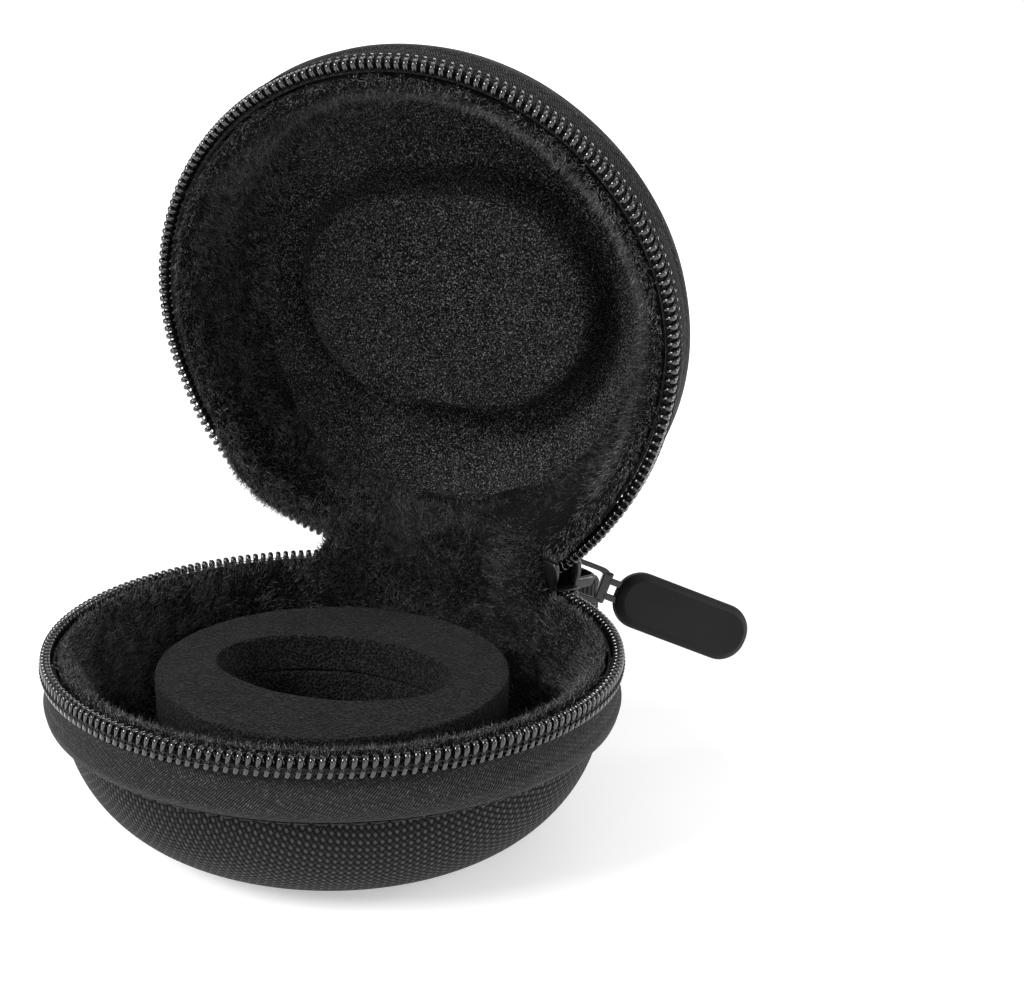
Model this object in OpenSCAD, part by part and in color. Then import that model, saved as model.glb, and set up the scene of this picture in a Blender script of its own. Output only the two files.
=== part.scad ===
// Round travel case for one watch: two moulded halves, a fabric hinge at the back,
// a zip round the rim and two loose foam rings. Millimetres, shown with the lid open.

/* [Case] */
// Outer radius of the rim bands
band_r = 52; // [46:0.5:60]
// Height of the parting plane above the table
half_h = 34; // [28:0.5:42]
// Widest radius of the moulded half under its band
dome_r = 48.6; // [44:0.1:56]
// Radius of the flat foot
foot_r = 30; // [24:0.5:36]
// How far the lid is open
open_deg = 75; // [0:1:120]

/* [Layers] */
// Woven cover
cover_t = 0.7; // [0.5:0.1:1.2]
// Moulded foam board
shell_t = 2.8; // [2:0.1:4]
// Plush lining
plush_t = 1.5; // [1:0.1:2.5]

/* [Oval recess] */
// Depth of the recess under each half
recess_h = 8; // [5:0.5:10]
// Half of the distance between its end centres
recess_c = 7.25; // [4:0.25:12]
// End radius at the bottom of the recess
recess_r = 15; // [10:0.5:18]
// End radius at its mouth
mouth_r = 21.2; // [16:0.1:24]

/* [Zip] */
// Inner and outer radius of the coils
coil_in = 49.8; // [48:0.1:52]
coil_out = 52; // [50:0.1:54]
// Height of one coil
coil_w = 4.1; // [3:0.1:5]
// Gap from a coil to the parting plane
coil_gap = 0.45; // [0.4:0.05:0.8]
// Where the slider stands, from the right-hand side towards the back
slider_deg = 57; // [50:1:60]
// How far the loose eye of the pull lets it hang
droop_deg = 26; // [0:1:26]
// How far the pull is swung round from straight out
swing_deg = 24; // [0:1:85]

/* [Pull] */
grip_l = 29.5; // [24:0.5:36]
grip_w = 11.4; // [8:0.2:14]
grip_t = 4.4; // [3:0.2:6]

/* [Foam rings] */
ring_r = 32; // [28:0.5:36]
ring_t = 7; // [5:0.5:9]
hole_x = 22; // [18:0.5:24]
hole_y = 14.4; // [11:0.2:17]

/* [Carry loop] */
loop_l = 22; // [18:0.5:28]
loop_w = 9; // [6:0.5:12]
loop_t = 1.1; // [0.8:0.1:1.5]

/* [Hidden] */
$fn = 96;

H = half_h;
neck_z = H - 13;            // top of the moulded wall
dome_a = dome_r - foot_r;   // half-widths of the curved wall
pw = 1.75;                  // between a straight bevel and a quarter ellipse
in_t = cover_t + shell_t;   // inside of the board
all_t = in_t + plush_t;     // inside of the lining
hy = 47.5;                  // hinge line
hz = H + 0.8;
base_from = 104; base_arc = 332;
lid_from = 133;  lid_arc = 274;
pin_r = 56.5;

function wall(t) = [for (i = [0:10]) let(a = i*9)
    [foot_r + (dome_a - t)*pow(abs(cos(a)), 2/pw), neck_z - (neck_z - t)*pow(abs(sin(a)), 2/pw)]];

// A solid between two straight-sided ovals
module oval_cone(c, r1, r2, h) {
    translate([-c, 0, 0]) cylinder(r1 = r1, r2 = r2, h = h);
    translate([c, 0, 0]) cylinder(r1 = r1, r2 = r2, h = h);
    translate([-c, 0, 0]) rotate([90, 0, 90]) linear_extrude(2*c)
        polygon([[-r1, 0], [r1, 0], [r2, h], [-r2, h]]);
}

// Everything inside the surface that lies t below the outer one
module bowl(t, top) {
    k = (mouth_r - recess_r)/recess_h;
    g = t*sqrt(1 + k*k);
    difference() {
        rotate_extrude() polygon(concat([[0, t]], [for (i = [10:-1:0]) wall(t)[i]], [[dome_r - t, top], [0, top]]));
        translate([0, 0, -1])
            oval_cone(recess_c, mouth_r + g + k, recess_r + g - k*t, recess_h + t + 1);
    }
}

module cover() {
    difference() { bowl(0, neck_z + 0.4); bowl(cover_t, neck_z + 2); }
}

module shell() {
    difference() { bowl(cover_t, neck_z + 0.4); bowl(in_t, neck_z + 2); }
}

module lining_all() {
    difference() { bowl(in_t, neck_z + 0.4); bowl(all_t, neck_z + 2); }
}

module floor_lining() {
    intersection() { lining_all(); cylinder(r = 38, h = neck_z + 3); }
}

// The plush wall with the lip that rises behind the zip tape
module wall_lining(from, arc) {
    difference() { lining_all(); translate([0, 0, -1]) cylinder(r = 38, h = neck_z + 4); }
    rotate([0, 0, from]) rotate_extrude(angle = arc) polygon([
        [43.8, neck_z - 0.4], [44.9, neck_z - 0.4], [44.9, neck_z + 0.5], [45.4, neck_z + 1.5], [47.1, neck_z + 3.2],
        [47.1, H - 3], [46.6, H - 2.5], [46, H - 2.5], [45.6, H - 3], [45.1, H - 7], [44.3, H - 10], [43.8, neck_z + 0.8]]);
}

module zip_tape(from, arc, from_z) {
    o = band_r - 52;
    rotate([0, 0, from]) rotate_extrude(angle = arc) polygon([
        [49.1, H - 2.2], [49.8, H - 2.2], [49.8, 27.6 + H - 34], [50.7 + o, 26.8 + H - 34], [51.6 + o, 25.8 + H - 34], [52 + o, 24.4 + H - 34],
        [51.7 + o, 23 + H - 34], [50.8 + o, 21.9 + H - 34], [49.5, neck_z + 0.4],
        [45.6, neck_z + 0.4], [45.6, neck_z + 1.1], [49.3, neck_z + 1.1],
        [50.3 + o, 22.4 + H - 34], [51 + o, 23.3 + H - 34], [51.3 + o, 24.4 + H - 34], [51 + o, 25.3 + H - 34], [50.2 + o, 26.3 + H - 34], [49.1, 27.3 + H - 34]]);
}

module coil(from, arc) {
    z1 = H - coil_gap; z0 = z1 - coil_w;
    rotate([0, 0, from]) rotate_extrude(angle = arc) difference() {
        polygon([[coil_in, z0 + 0.3], [coil_in + 0.4, z0], [coil_out - 0.4, z0], [coil_out, z0 + 0.4],
                 [coil_out, z1 - 0.5], [coil_out - 0.5, z1], [coil_in + 0.5, z1], [coil_in, z1 - 0.5]]);
        translate([(coil_in + coil_out)/2, z0 + 1.6]) circle(r = 0.55, $fn = 24);
    }
}

module coil_cord(from, arc) {
    z0 = H - coil_gap - coil_w;
    rotate([0, 0, from]) rotate_extrude(angle = arc)
        translate([(coil_in + coil_out)/2, z0 + 1.6]) circle(r = 0.55, $fn = 24);
}

module seam_thread(from, arc) {
    rotate([0, 0, from]) rotate_extrude(angle = arc)
        translate([dome_r + 0.35, neck_z - 0.05]) circle(r = 0.35, $fn = 20);
}

// The upper half is the lower one turned over and swung open
module in_lid() {
    translate([0, hy, hz]) rotate([-open_deg, 0, 0]) translate([0, -hy, -hz])
        translate([0, 0, 2*H]) mirror([0, 0, 1]) children();
}

module base_cover() color([0.1, 0.1, 0.11]) cover();
module base_shell() color([0.16, 0.16, 0.17]) shell();
module base_wall_lining() color([0.13, 0.13, 0.14]) wall_lining(114, 312);
module base_floor_lining() color([0.15, 0.15, 0.16]) floor_lining();
module base_zip_tape() color([0.12, 0.12, 0.13]) zip_tape(base_from, base_arc);
module base_zip_coil() color([0.05, 0.05, 0.05]) coil(base_from, base_arc);
module base_coil_cord() color([0.2, 0.2, 0.2]) coil_cord(base_from, base_arc);
module base_seam_thread() color([0.18, 0.18, 0.18]) seam_thread(base_from, base_arc);

module lid_cover() color([0.1, 0.1, 0.11]) in_lid() cover();
module lid_shell() color([0.16, 0.16, 0.17]) in_lid() shell();
module lid_wall_lining() color([0.13, 0.13, 0.14]) in_lid() wall_lining(lid_from, lid_arc);
module lid_floor_lining() color([0.15, 0.15, 0.16]) in_lid() floor_lining();
module lid_zip_tape() color([0.12, 0.12, 0.13]) in_lid() zip_tape(lid_from, lid_arc);
module lid_zip_coil() color([0.05, 0.05, 0.05]) in_lid() coil(lid_from, lid_arc);
module lid_coil_cord() color([0.2, 0.2, 0.2]) in_lid() coil_cord(lid_from, lid_arc);
module lid_seam_thread() color([0.18, 0.18, 0.18]) in_lid() seam_thread(lid_from, lid_arc);

// Woven strip over the fold, from the base's groove to the lid's
module hinge_strip() color([0.1, 0.1, 0.11])
    translate([-12.4, 0, H - 34]) rotate([90, 0, 90]) linear_extrude(24.8) polygon([
        [50.1, 21.8], [51.3, 21.8], [51.7, 24.5], [51.8, 28], [52.3, 30.2], [53.3, 31.7], [55.4, 32.6], [57.6, 33.4], [59.6, 34.3],
        [59.2, 35.4], [57.2, 34.6], [54.9, 33.8], [52.6, 32.8], [51.2, 30.7], [50.6, 28.2], [50.5, 24.6]]);

// Plush that carries the lining over the fold
module hinge_lining() color([0.13, 0.13, 0.14]) difference() {
    translate([-16.5, 0, H - 34]) rotate([90, 0, 90]) linear_extrude(33) polygon([
        [45.4, 22.6], [46.8, 22.6], [47, 28], [47.6, 31.6], [49, 34.4], [51.4, 36.6], [54.4, 37.9], [57.4, 38.9],
        [57, 40.2], [53.8, 39.2], [50.6, 37.8], [47.8, 35.2], [46.2, 32], [45.6, 28]]);
    // cut back where the tape and its coil begin
    rotate([0, 0, base_from - 0.8]) rotate_extrude(angle = base_arc + 1.6) polygon([[48.7, H - 13], [53, H - 13], [53, H + 0.4], [48.7, H + 0.4]]);
}

// The lid's tape bends freely between the stiff band and the strip
module tape_end(from) {
    in_lid() rotate([0, 0, from]) rotate_extrude(angle = 28.6) polygon([
        [50.7, 26.8 + H - 34], [51.6, 25.8 + H - 34], [52, 24.4 + H - 34], [51.7, 23 + H - 34], [50.8, 21.9 + H - 34], [49.5, neck_z + 0.4],
        [49.3, neck_z + 1.1], [50.3, 22.4 + H - 34], [51, 23.3 + H - 34], [51.3, 24.4 + H - 34], [51, 25.3 + H - 34], [50.2, 26.3 + H - 34]]);
}
module lid_tape_end_right() color([0.12, 0.12, 0.13]) tape_end(47.2);
module lid_tape_end_left() color([0.12, 0.12, 0.13]) tape_end(104.2);

// Slider: an outer plate with lips, an inner plate, and a thin web at the mouth
module slider_body() color([0.06, 0.06, 0.06]) translate([0, 0, H]) {
    rotate([0, 0, slider_deg - 7.2]) rotate_extrude(angle = 14.4)
        polygon([[52.4, -4.95], [50.5, -4.95], [50.5, -5.9], [53.2, -5.9], [53.7, -5.4],
                 [53.7, 5.4], [53.2, 5.9], [50.5, 5.9], [50.5, 4.95], [52.4, 4.95]]);
    rotate([0, 0, slider_deg - 7.2]) rotate_extrude(angle = 14.4)
        polygon([[47.5, -5], [47.9, -5.5], [48.7, -5.5], [48.7, 5.5], [47.9, 5.5], [47.5, 5]]);
    rotate([0, 0, slider_deg - 7.2]) rotate_extrude(angle = 4)
        polygon([[48.2, -0.15], [53, -0.15], [53, 0.15], [48.2, 0.15]]);
}

module slider_bridge() color([0.07, 0.07, 0.07]) translate([0, 0, H]) {
    rotate([0, 0, slider_deg - 4.6]) rotate_extrude(angle = 9.2)
        polygon([[58.2, -1.2], [59.1, -1.2], [59.4, -0.8], [59.4, 0.8], [59.1, 1.2], [58.2, 1.2]]);
    for (a = [-4.6, 3.4]) rotate([0, 0, slider_deg + a]) rotate_extrude(angle = 1.2)
        polygon([[53.7, -1.2], [58.8, -1.2], [58.8, 1.2], [53.7, 1.2]]);
}

// The pull points along its own +X from the pin; its flat faces look along Y
module in_pull() {
    rotate([0, 0, slider_deg]) translate([pin_r, 0, H]) rotate([0, droop_deg, 0]) rotate([0, 0, -swing_deg]) children();
}

module pull_link() color([0.07, 0.07, 0.07]) in_pull() {
    translate([0, 0, -3.6]) cylinder(r = 0.7, h = 7.2, $fn = 32);
    difference() {
        translate([0, 0.7, 0]) rotate([90, 0, 0]) linear_extrude(1.4) difference() {
            union() {
                translate([-0.2, -3.7]) square([6.5, 7.4]);
                polygon([[6, -3.7], [7.5, -3.1], [8.4, -2.2], [15, -2.2], [15, 2.2], [8.4, 2.2], [7.5, 3.1], [6, 3.7]]);
            }
            translate([-1, -2.6]) square([7.1, 5.2]);
            translate([8.7, 0]) circle(r = 0.8, $fn = 32);
        }
    }
}

module grip_body() {
    c = grip_l/2 - grip_w/2;
    translate([10 + grip_l/2, 0, 0]) rotate([90, 0, 0]) {
        translate([0, 0, -grip_t/2]) oval_cone(c, grip_w/2 - 1.3, grip_w/2, 1.3);
        translate([0, 0, -grip_t/2 + 1.3]) oval_cone(c, grip_w/2, grip_w/2, grip_t - 2.6);
        translate([0, 0, grip_t/2 - 1.3]) oval_cone(c, grip_w/2, grip_w/2 - 1.3, 1.3);
    }
}

module pull_grip() color([0.17, 0.17, 0.17]) in_pull() difference() {
    grip_body();
    translate([8, -0.7, -2.2]) cube([7, 1.4, 4.4]);
}

// Ribbon loop, sewn in at the right end of the strip
module carry_loop() color([0.14, 0.14, 0.14])
    translate([13.1, 51.2, 20.8 + H - 34]) rotate([0, 0, 25]) linear_extrude(loop_w) difference() {
        union() {
            translate([loop_l - 3.6, 0]) circle(r = 3.6, $fn = 48);
            polygon([[0, -1.15], [loop_l - 4.4, -3.5], [loop_l - 3.6, 0], [loop_l - 4.4, 3.5], [0, 1.15]]);
        }
        translate([loop_l - 3.6, 0]) circle(r = 3.6 - loop_t, $fn = 48);
        polygon([[5.5, 0], [loop_l - 4.2, -2.4], [loop_l - 3.6, 0], [loop_l - 4.2, 2.4]]);
    }

module foam_ring(z) {
    translate([0, 0, z]) difference() {
        union() {
            cylinder(r1 = ring_r - 0.8, r2 = ring_r, h = 0.8);
            translate([0, 0, 0.8]) cylinder(r = ring_r, h = ring_t - 1.6);
            translate([0, 0, ring_t - 0.8]) cylinder(r1 = ring_r, r2 = ring_r - 0.8, h = 0.8);
        }
        translate([0, 0, -1]) linear_extrude(ring_t + 2)
            polygon([for (i = [0:47]) let(a = i*7.5)
                [hole_x*sign(cos(a))*pow(abs(cos(a)), 1.08), hole_y*sign(sin(a))*pow(abs(sin(a)), 0.94)]]);
    }
}
module foam_ring_lower() color([0.09, 0.09, 0.09]) foam_ring(recess_h + all_t + 0.3);
module foam_ring_upper() color([0.1, 0.1, 0.1]) foam_ring(recess_h + all_t + ring_t + 0.6);

base_cover();
base_shell();
base_wall_lining();
base_floor_lining();
base_zip_tape();
base_zip_coil();
base_coil_cord();
base_seam_thread();
lid_cover();
lid_shell();
lid_wall_lining();
lid_floor_lining();
lid_zip_tape();
lid_zip_coil();
lid_coil_cord();
lid_seam_thread();
hinge_strip();
hinge_lining();
lid_tape_end_right();
lid_tape_end_left();
slider_body();
slider_bridge();
pull_link();
pull_grip();
carry_loop();
foam_ring_lower();
foam_ring_upper();
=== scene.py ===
# Looks of the round travel case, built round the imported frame.
# Shapes are worked out in millimetres in the closed state where they cross the fold, then opened.
import math
import bmesh
import bpy
import numpy as np
from mathutils import Matrix, Vector


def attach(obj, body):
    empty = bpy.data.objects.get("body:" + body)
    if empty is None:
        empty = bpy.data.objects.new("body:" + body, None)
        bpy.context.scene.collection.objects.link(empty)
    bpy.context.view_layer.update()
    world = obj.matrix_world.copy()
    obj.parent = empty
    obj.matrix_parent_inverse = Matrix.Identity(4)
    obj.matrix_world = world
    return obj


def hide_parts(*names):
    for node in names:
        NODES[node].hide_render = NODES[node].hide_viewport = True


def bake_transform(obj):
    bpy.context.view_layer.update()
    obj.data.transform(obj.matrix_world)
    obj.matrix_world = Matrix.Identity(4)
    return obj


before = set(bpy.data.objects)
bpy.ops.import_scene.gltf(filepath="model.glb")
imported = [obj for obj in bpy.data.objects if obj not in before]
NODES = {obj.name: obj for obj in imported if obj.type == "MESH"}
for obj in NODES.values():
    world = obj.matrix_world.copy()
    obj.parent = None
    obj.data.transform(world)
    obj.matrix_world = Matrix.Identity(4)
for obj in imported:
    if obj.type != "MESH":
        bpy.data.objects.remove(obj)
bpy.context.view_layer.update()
PI = math.pi

H = 34.0                     # parting plane
NECK = 21.0                  # top of the moulded wall
HY, HZ = 47.5, 34.8          # hinge line
OPEN = math.radians(75.0)
SLIDER = 57.0                # where the slider stands, degrees
FOOT, DOME = 30.0, 48.6


# ---------------------------------------------------------------- geometry helpers
def smooth(a, b, x):
    t = np.clip((np.asarray(x, float) - a) / (b - a), 0, 1)
    return t * t * (3 - 2 * t)


def polar(r, deg, z):
    a = np.radians(deg)
    return np.stack(np.broadcast_arrays(r * np.cos(a), r * np.sin(a), z), -1).astype(float)


def opened(p, w=1.0):
    """Points of the closed state, turned by the share w of the opening about the hinge line."""
    p = np.asarray(p, float)
    t = OPEN * np.asarray(w, float)
    dy, dz = p[..., 1] - HY, p[..., 2] - HZ
    return np.stack([p[..., 0], HY + dy * np.cos(t) + dz * np.sin(t), HZ - dy * np.sin(t) + dz * np.cos(t)], -1)


def to_lid(p):
    q = np.array(p, float)
    q[..., 2] = 2 * H - q[..., 2]
    return q


def noise1(x, seed, n=5, f0=1.0):
    """Smooth periodic noise over an angle in radians, about -1 to 1."""
    g = np.random.default_rng(seed)
    out = np.zeros_like(np.asarray(x, float))
    for i in range(1, n + 1):
        k = max(1, int(round(f0 * i)))
        out += g.normal() / i * np.cos(k * x + g.uniform(0, 6.28))
    return out / 1.6


def grid(nu, nv, cu=False, cv=False, flip=False):
    i = np.arange(nu if cu else nu - 1)
    j = np.arange(nv if cv else nv - 1)
    I, J = np.meshgrid(i, j, indexing="ij")
    I2, J2 = (I + 1) % nu, (J + 1) % nv
    f = np.stack([I * nv + J, I2 * nv + J, I2 * nv + J2, I * nv + J2], -1).reshape(-1, 4)
    return f[:, ::-1] if flip else f


def add(name, verts, faces, material=None, uv=None, smooth_faces=True, solid=True):
    """A mesh object from millimetre points. faces is a list of index arrays of 3 or 4 columns."""
    if isinstance(faces, np.ndarray):
        faces = [faces]
    faces = [f for f in faces if len(f)]
    me = bpy.data.meshes.new(name)
    v = np.asarray(verts, float).reshape(-1, 3) * 0.001
    me.vertices.add(len(v))
    me.vertices.foreach_set("co", v.astype(np.float32).ravel())
    idx = np.concatenate([f.ravel() for f in faces]).astype(np.int32)
    counts = np.concatenate([np.full(len(f), f.shape[1]) for f in faces])
    starts = np.concatenate([[0], np.cumsum(counts)[:-1]]).astype(np.int32)
    me.loops.add(len(idx))
    me.loops.foreach_set("vertex_index", idx)
    me.polygons.add(len(counts))
    me.polygons.foreach_set("loop_start", starts)
    me.polygons.foreach_set("use_smooth", np.full(len(counts), smooth_faces))
    if uv is not None:
        layer = me.uv_layers.new(name="UVMap")
        u = np.asarray(uv, float).reshape(-1, 2)[idx]
        layer.data.foreach_set("uv", u.astype(np.float32).ravel())
    me.update(calc_edges=True)
    me.validate()
    if solid:
        bm = bmesh.new()
        bm.from_mesh(me)
        bmesh.ops.recalc_face_normals(bm, faces=bm.faces)
        bm.to_mesh(me)
        bm.free()
    ob = bpy.data.objects.new(name, me)
    bpy.context.scene.collection.objects.link(ob)
    if material is not None:
        me.materials.append(material)
    return ob


def rideon(ob, body, slot, *nodes):
    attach(ob, body)
    if nodes:
        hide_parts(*nodes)
    return ob


def bend(ob, w, slot, *nodes):
    """Bakes the piece's transform and hides the frame's parts it replaces. w, the piece's share of the lid's turn (0
    base, 1 lid), is not used.
    """
    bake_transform(ob)
    if nodes:
        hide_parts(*nodes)
    return ob


def frames(path, ref):
    """Two unit normals along each point of a path, kept near the reference directions."""
    t = np.gradient(path, axis=0)
    t /= np.linalg.norm(t, axis=1, keepdims=True) + 1e-12
    a = ref - (ref * t).sum(1, keepdims=True) * t
    a /= np.linalg.norm(a, axis=1, keepdims=True) + 1e-12
    return a, np.cross(t, a)


def tube(path, radius, sides, ref, closed=False):
    """Verts and faces of a round tube along path; radius may vary and may be (n, 2) for an oval."""
    n = len(path)
    a, b = frames(path, ref)
    rad = np.asarray(radius, float)
    rad = np.broadcast_to(rad.reshape(-1, 1) if rad.ndim < 2 else rad, (n, 1 if rad.ndim < 2 else 2))
    ra, rb = rad[:, 0], rad[:, -1]
    th = np.linspace(0, 2 * PI, sides, endpoint=False)
    v = path[:, None, :] + (ra[:, None] * np.cos(th))[..., None] * a[:, None, :] + (rb[:, None] * np.sin(th))[..., None] * b[:, None, :]
    f = [grid(n, sides, closed, True)]
    v = v.reshape(-1, 3)
    if not closed:
        f.append(np.array([[i, (i + 1) % sides, len(v)] for i in range(sides)])[:, ::-1])
        f.append(np.array([[(n - 1) * sides + i, (n - 1) * sides + (i + 1) % sides, len(v) + 1] for i in range(sides)]))
        v = np.vstack([v, path[:1], path[-1:]])
    return v, f


def join(parts):
    """Joins (verts, [faces]) pairs."""
    vs, fs, n = [], [], 0
    for v, f in parts:
        vs.append(v)
        fs += [x + n for x in f]
        n += len(v)
    return np.vstack(vs), fs


# ---------------------------------------------------------------- shader helpers
class S:
    """A shader socket that can be reckoned with."""

    def __init__(self, nt, k):
        self.nt, self.k = nt, k

    def __add__(self, o): return op(self.nt, "ADD", self, o)
    def __radd__(self, o): return op(self.nt, "ADD", o, self)
    def __sub__(self, o): return op(self.nt, "SUBTRACT", self, o)
    def __rsub__(self, o): return op(self.nt, "SUBTRACT", o, self)
    def __mul__(self, o): return op(self.nt, "MULTIPLY", self, o)
    def __rmul__(self, o): return op(self.nt, "MULTIPLY", o, self)
    def __truediv__(self, o): return op(self.nt, "DIVIDE", self, o)


def op(nt, name, *a, clamp=False):
    n = nt.nodes.new("ShaderNodeMath")
    n.operation = name
    n.use_clamp = clamp
    for i, x in enumerate(a):
        if isinstance(x, S):
            nt.links.new(x.k, n.inputs[i])
        else:
            n.inputs[i].default_value = float(x)
    return S(nt, n.outputs[0])


def ramp(nt, x, a, b, lo=0.0, hi=1.0):
    n = nt.nodes.new("ShaderNodeMapRange")
    n.interpolation_type = "SMOOTHSTEP"
    nt.links.new(x.k, n.inputs["Value"])
    n.inputs["From Min"].default_value = a
    n.inputs["From Max"].default_value = b
    n.inputs["To Min"].default_value = lo
    n.inputs["To Max"].default_value = hi
    return S(nt, n.outputs["Result"])


def noise(nt, vec, scale, detail=3.0, rough=0.5):
    n = nt.nodes.new("ShaderNodeTexNoise")
    n.inputs["Scale"].default_value = scale
    n.inputs["Detail"].default_value = detail
    n.inputs["Roughness"].default_value = rough
    nt.links.new(vec, n.inputs["Vector"])
    return S(nt, n.outputs["Fac"])


def voronoi(nt, vec, scale, feature="F1"):
    n = nt.nodes.new("ShaderNodeTexVoronoi")
    n.feature = feature
    n.inputs["Scale"].default_value = scale
    nt.links.new(vec, n.inputs["Vector"])
    return n


def mix(nt, fac, a, b):
    n = nt.nodes.new("ShaderNodeMix")
    n.data_type = "RGBA"
    nt.links.new(fac.k, n.inputs["Factor"])
    n.inputs["A"].default_value = (*a, 1)
    n.inputs["B"].default_value = (*b, 1)
    return n.outputs["Result"]


class Mat:
    def __init__(self, name, rough=0.6, spec=0.5, sheen=0.0, sheen_rough=0.4, tint=(1, 1, 1), metallic=0.0, coat=0.0, coat_rough=0.1):
        self.m = bpy.data.materials.new(name)
        self.m.use_nodes = True
        self.nt = self.m.node_tree
        self.p = self.nt.nodes["Principled BSDF"]
        i = self.p.inputs
        i["Roughness"].default_value = rough
        i["Specular IOR Level"].default_value = spec
        i["Metallic"].default_value = metallic
        i["Sheen Weight"].default_value = sheen
        i["Sheen Roughness"].default_value = sheen_rough
        i["Sheen Tint"].default_value = (*tint, 1)
        i["Coat Weight"].default_value = coat
        i["Coat Roughness"].default_value = coat_rough
        self.tc = self.nt.nodes.new("ShaderNodeTexCoord")
        self.obj = self.tc.outputs["Object"]

    def uv(self):
        sep = self.nt.nodes.new("ShaderNodeSeparateXYZ")
        self.nt.links.new(self.tc.outputs["UV"], sep.inputs[0])
        return S(self.nt, sep.outputs[0]), S(self.nt, sep.outputs[1])

    def color(self, sock):
        self.nt.links.new(sock, self.p.inputs["Base Color"])

    def rough(self, s):
        self.nt.links.new(s.k, self.p.inputs["Roughness"])

    def bump(self, *pairs):
        """Pairs of (height, metres)."""
        last = None
        for h, d in pairs:
            b = self.nt.nodes.new("ShaderNodeBump")
            b.inputs["Strength"].default_value = 1.0
            b.inputs["Distance"].default_value = d
            self.nt.links.new(h.k, b.inputs["Height"])
            if last is not None:
                self.nt.links.new(last, b.inputs["Normal"])
            last = b.outputs["Normal"]
        self.nt.links.new(last, self.p.inputs["Normal"])


def weave_height(nt, u, v, pu, pv):
    """Plain weave of round yarns, 0 to 1. u and v in millimetres."""
    p, q = u * (1.0 / pu), v * (1.0 / pv)
    fp = op(nt, "FRACT", p) - 0.5
    fq = op(nt, "FRACT", q) - 0.5
    par = op(nt, "COSINE", (op(nt, "FLOOR", p) + op(nt, "FLOOR", q)) * PI)
    over = op(nt, "GREATER_THAN", par, 0.0)

    def pillow(x, y):
        a = op(nt, "SQRT", op(nt, "MAXIMUM", 1.0 - (x * x) * 4.0, 0.0))
        b = op(nt, "POWER", op(nt, "MAXIMUM", op(nt, "COSINE", y * PI), 0.0), 0.6)
        return a * b
    A, B = pillow(fp, fq), pillow(fq, fp)
    strand = op(nt, "SINE", (over * fp + (1.0 - over) * fq) * 34.0) * 0.06
    # painted highlight: the crest of the upper yarn, longer than wide, lightens the base colour
    crest_highlight = op(nt, "POWER", op(nt, "MAXIMUM", 1.0 - (fp * fp) * 6.0, 0.0), 1.5) * op(nt, "POWER", op(nt, "MAXIMUM", op(nt, "COSINE", fq * PI), 0.0), 0.45)
    return over * A + (1.0 - over) * B + strand, over, over * crest_highlight


def mat_weave(name, pitch=0.92, lo=(0.002, 0.002, 0.0022), hi=(0.055, 0.056, 0.0595), depth=0.00045):
    m = Mat(name, rough=0.5, spec=0.09, sheen=0.005, sheen_rough=0.35)
    nt = m.nt
    u, v = m.uv()
    w = noise(nt, m.obj, 60, 2)
    u2, v2 = u + (w - 0.5) * 0.7, v + (noise(nt, m.obj, 47, 2) - 0.5) * 0.7
    h, over, crest_highlight = weave_height(nt, u2, v2, pitch, pitch)
    # Base colour: painted highlights on the upper yarns' crests and lighter yarn tops with painted shade between the
    # yarns, then random tone noise
    tone = (crest_highlight + ramp(nt, h, 0.2, 1.0) * 0.13) * (0.6 + 0.8 * noise(nt, m.obj, 900, 2)) * (0.5 + 1.0 * noise(nt, m.obj, 33, 2))
    m.color(mix(nt, tone, lo, hi))
    m.rough(0.62 - 0.24 * ramp(nt, h, 0.4, 1.0) + 0.12 * (noise(nt, m.obj, 400, 2) - 0.5))
    m.bump((noise(nt, m.obj, 140, 2), 0.0002), (h, depth))
    return m.m


def mat_twill(name, pitch=0.5, rib=9.0, lo=(0.002, 0.002, 0.0022), hi=(0.10, 0.101, 0.107), depth=0.00012):
    """Fine herringbone twill; the lines change direction every rib millimetres across v."""
    m = Mat(name, rough=0.6, spec=0.16, sheen=0.02, sheen_rough=0.4)
    nt = m.nt
    u, v = m.uv()
    band = op(nt, "FRACT", v * (1.0 / rib))
    side = op(nt, "SIGN", band - 0.5)
    d = u + side * v * 0.9 + (noise(nt, m.obj, 90, 2) - 0.5) * 0.25
    line = op(nt, "SINE", d * (2 * PI / pitch)) * 0.5 + 0.5
    cut = op(nt, "SINE", (v - side * u * 0.4) * (2 * PI / (pitch * 1.7))) * 0.5 + 0.5
    h = line * (0.6 + 0.4 * cut)
    # painted glints: bright flecks put into the base colour, strongest on the twill lines
    fleck = ramp(nt, noise(nt, m.obj, 3000, 1), 0.56, 0.74)
    tone = op(nt, "MINIMUM", ramp(nt, h, 0.25, 0.95) * (0.12 + 0.5 * noise(nt, m.obj, 700, 2)) + fleck * 0.8 * (0.3 + 0.7 * line), 1.0)
    m.color(mix(nt, tone, lo, hi))
    m.rough(0.7 - 0.16 * h + 0.1 * (noise(nt, m.obj, 500, 2) - 0.5))
    m.bump((noise(nt, m.obj, 110, 3), 0.0005), (h, depth))
    return m.m


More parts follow.
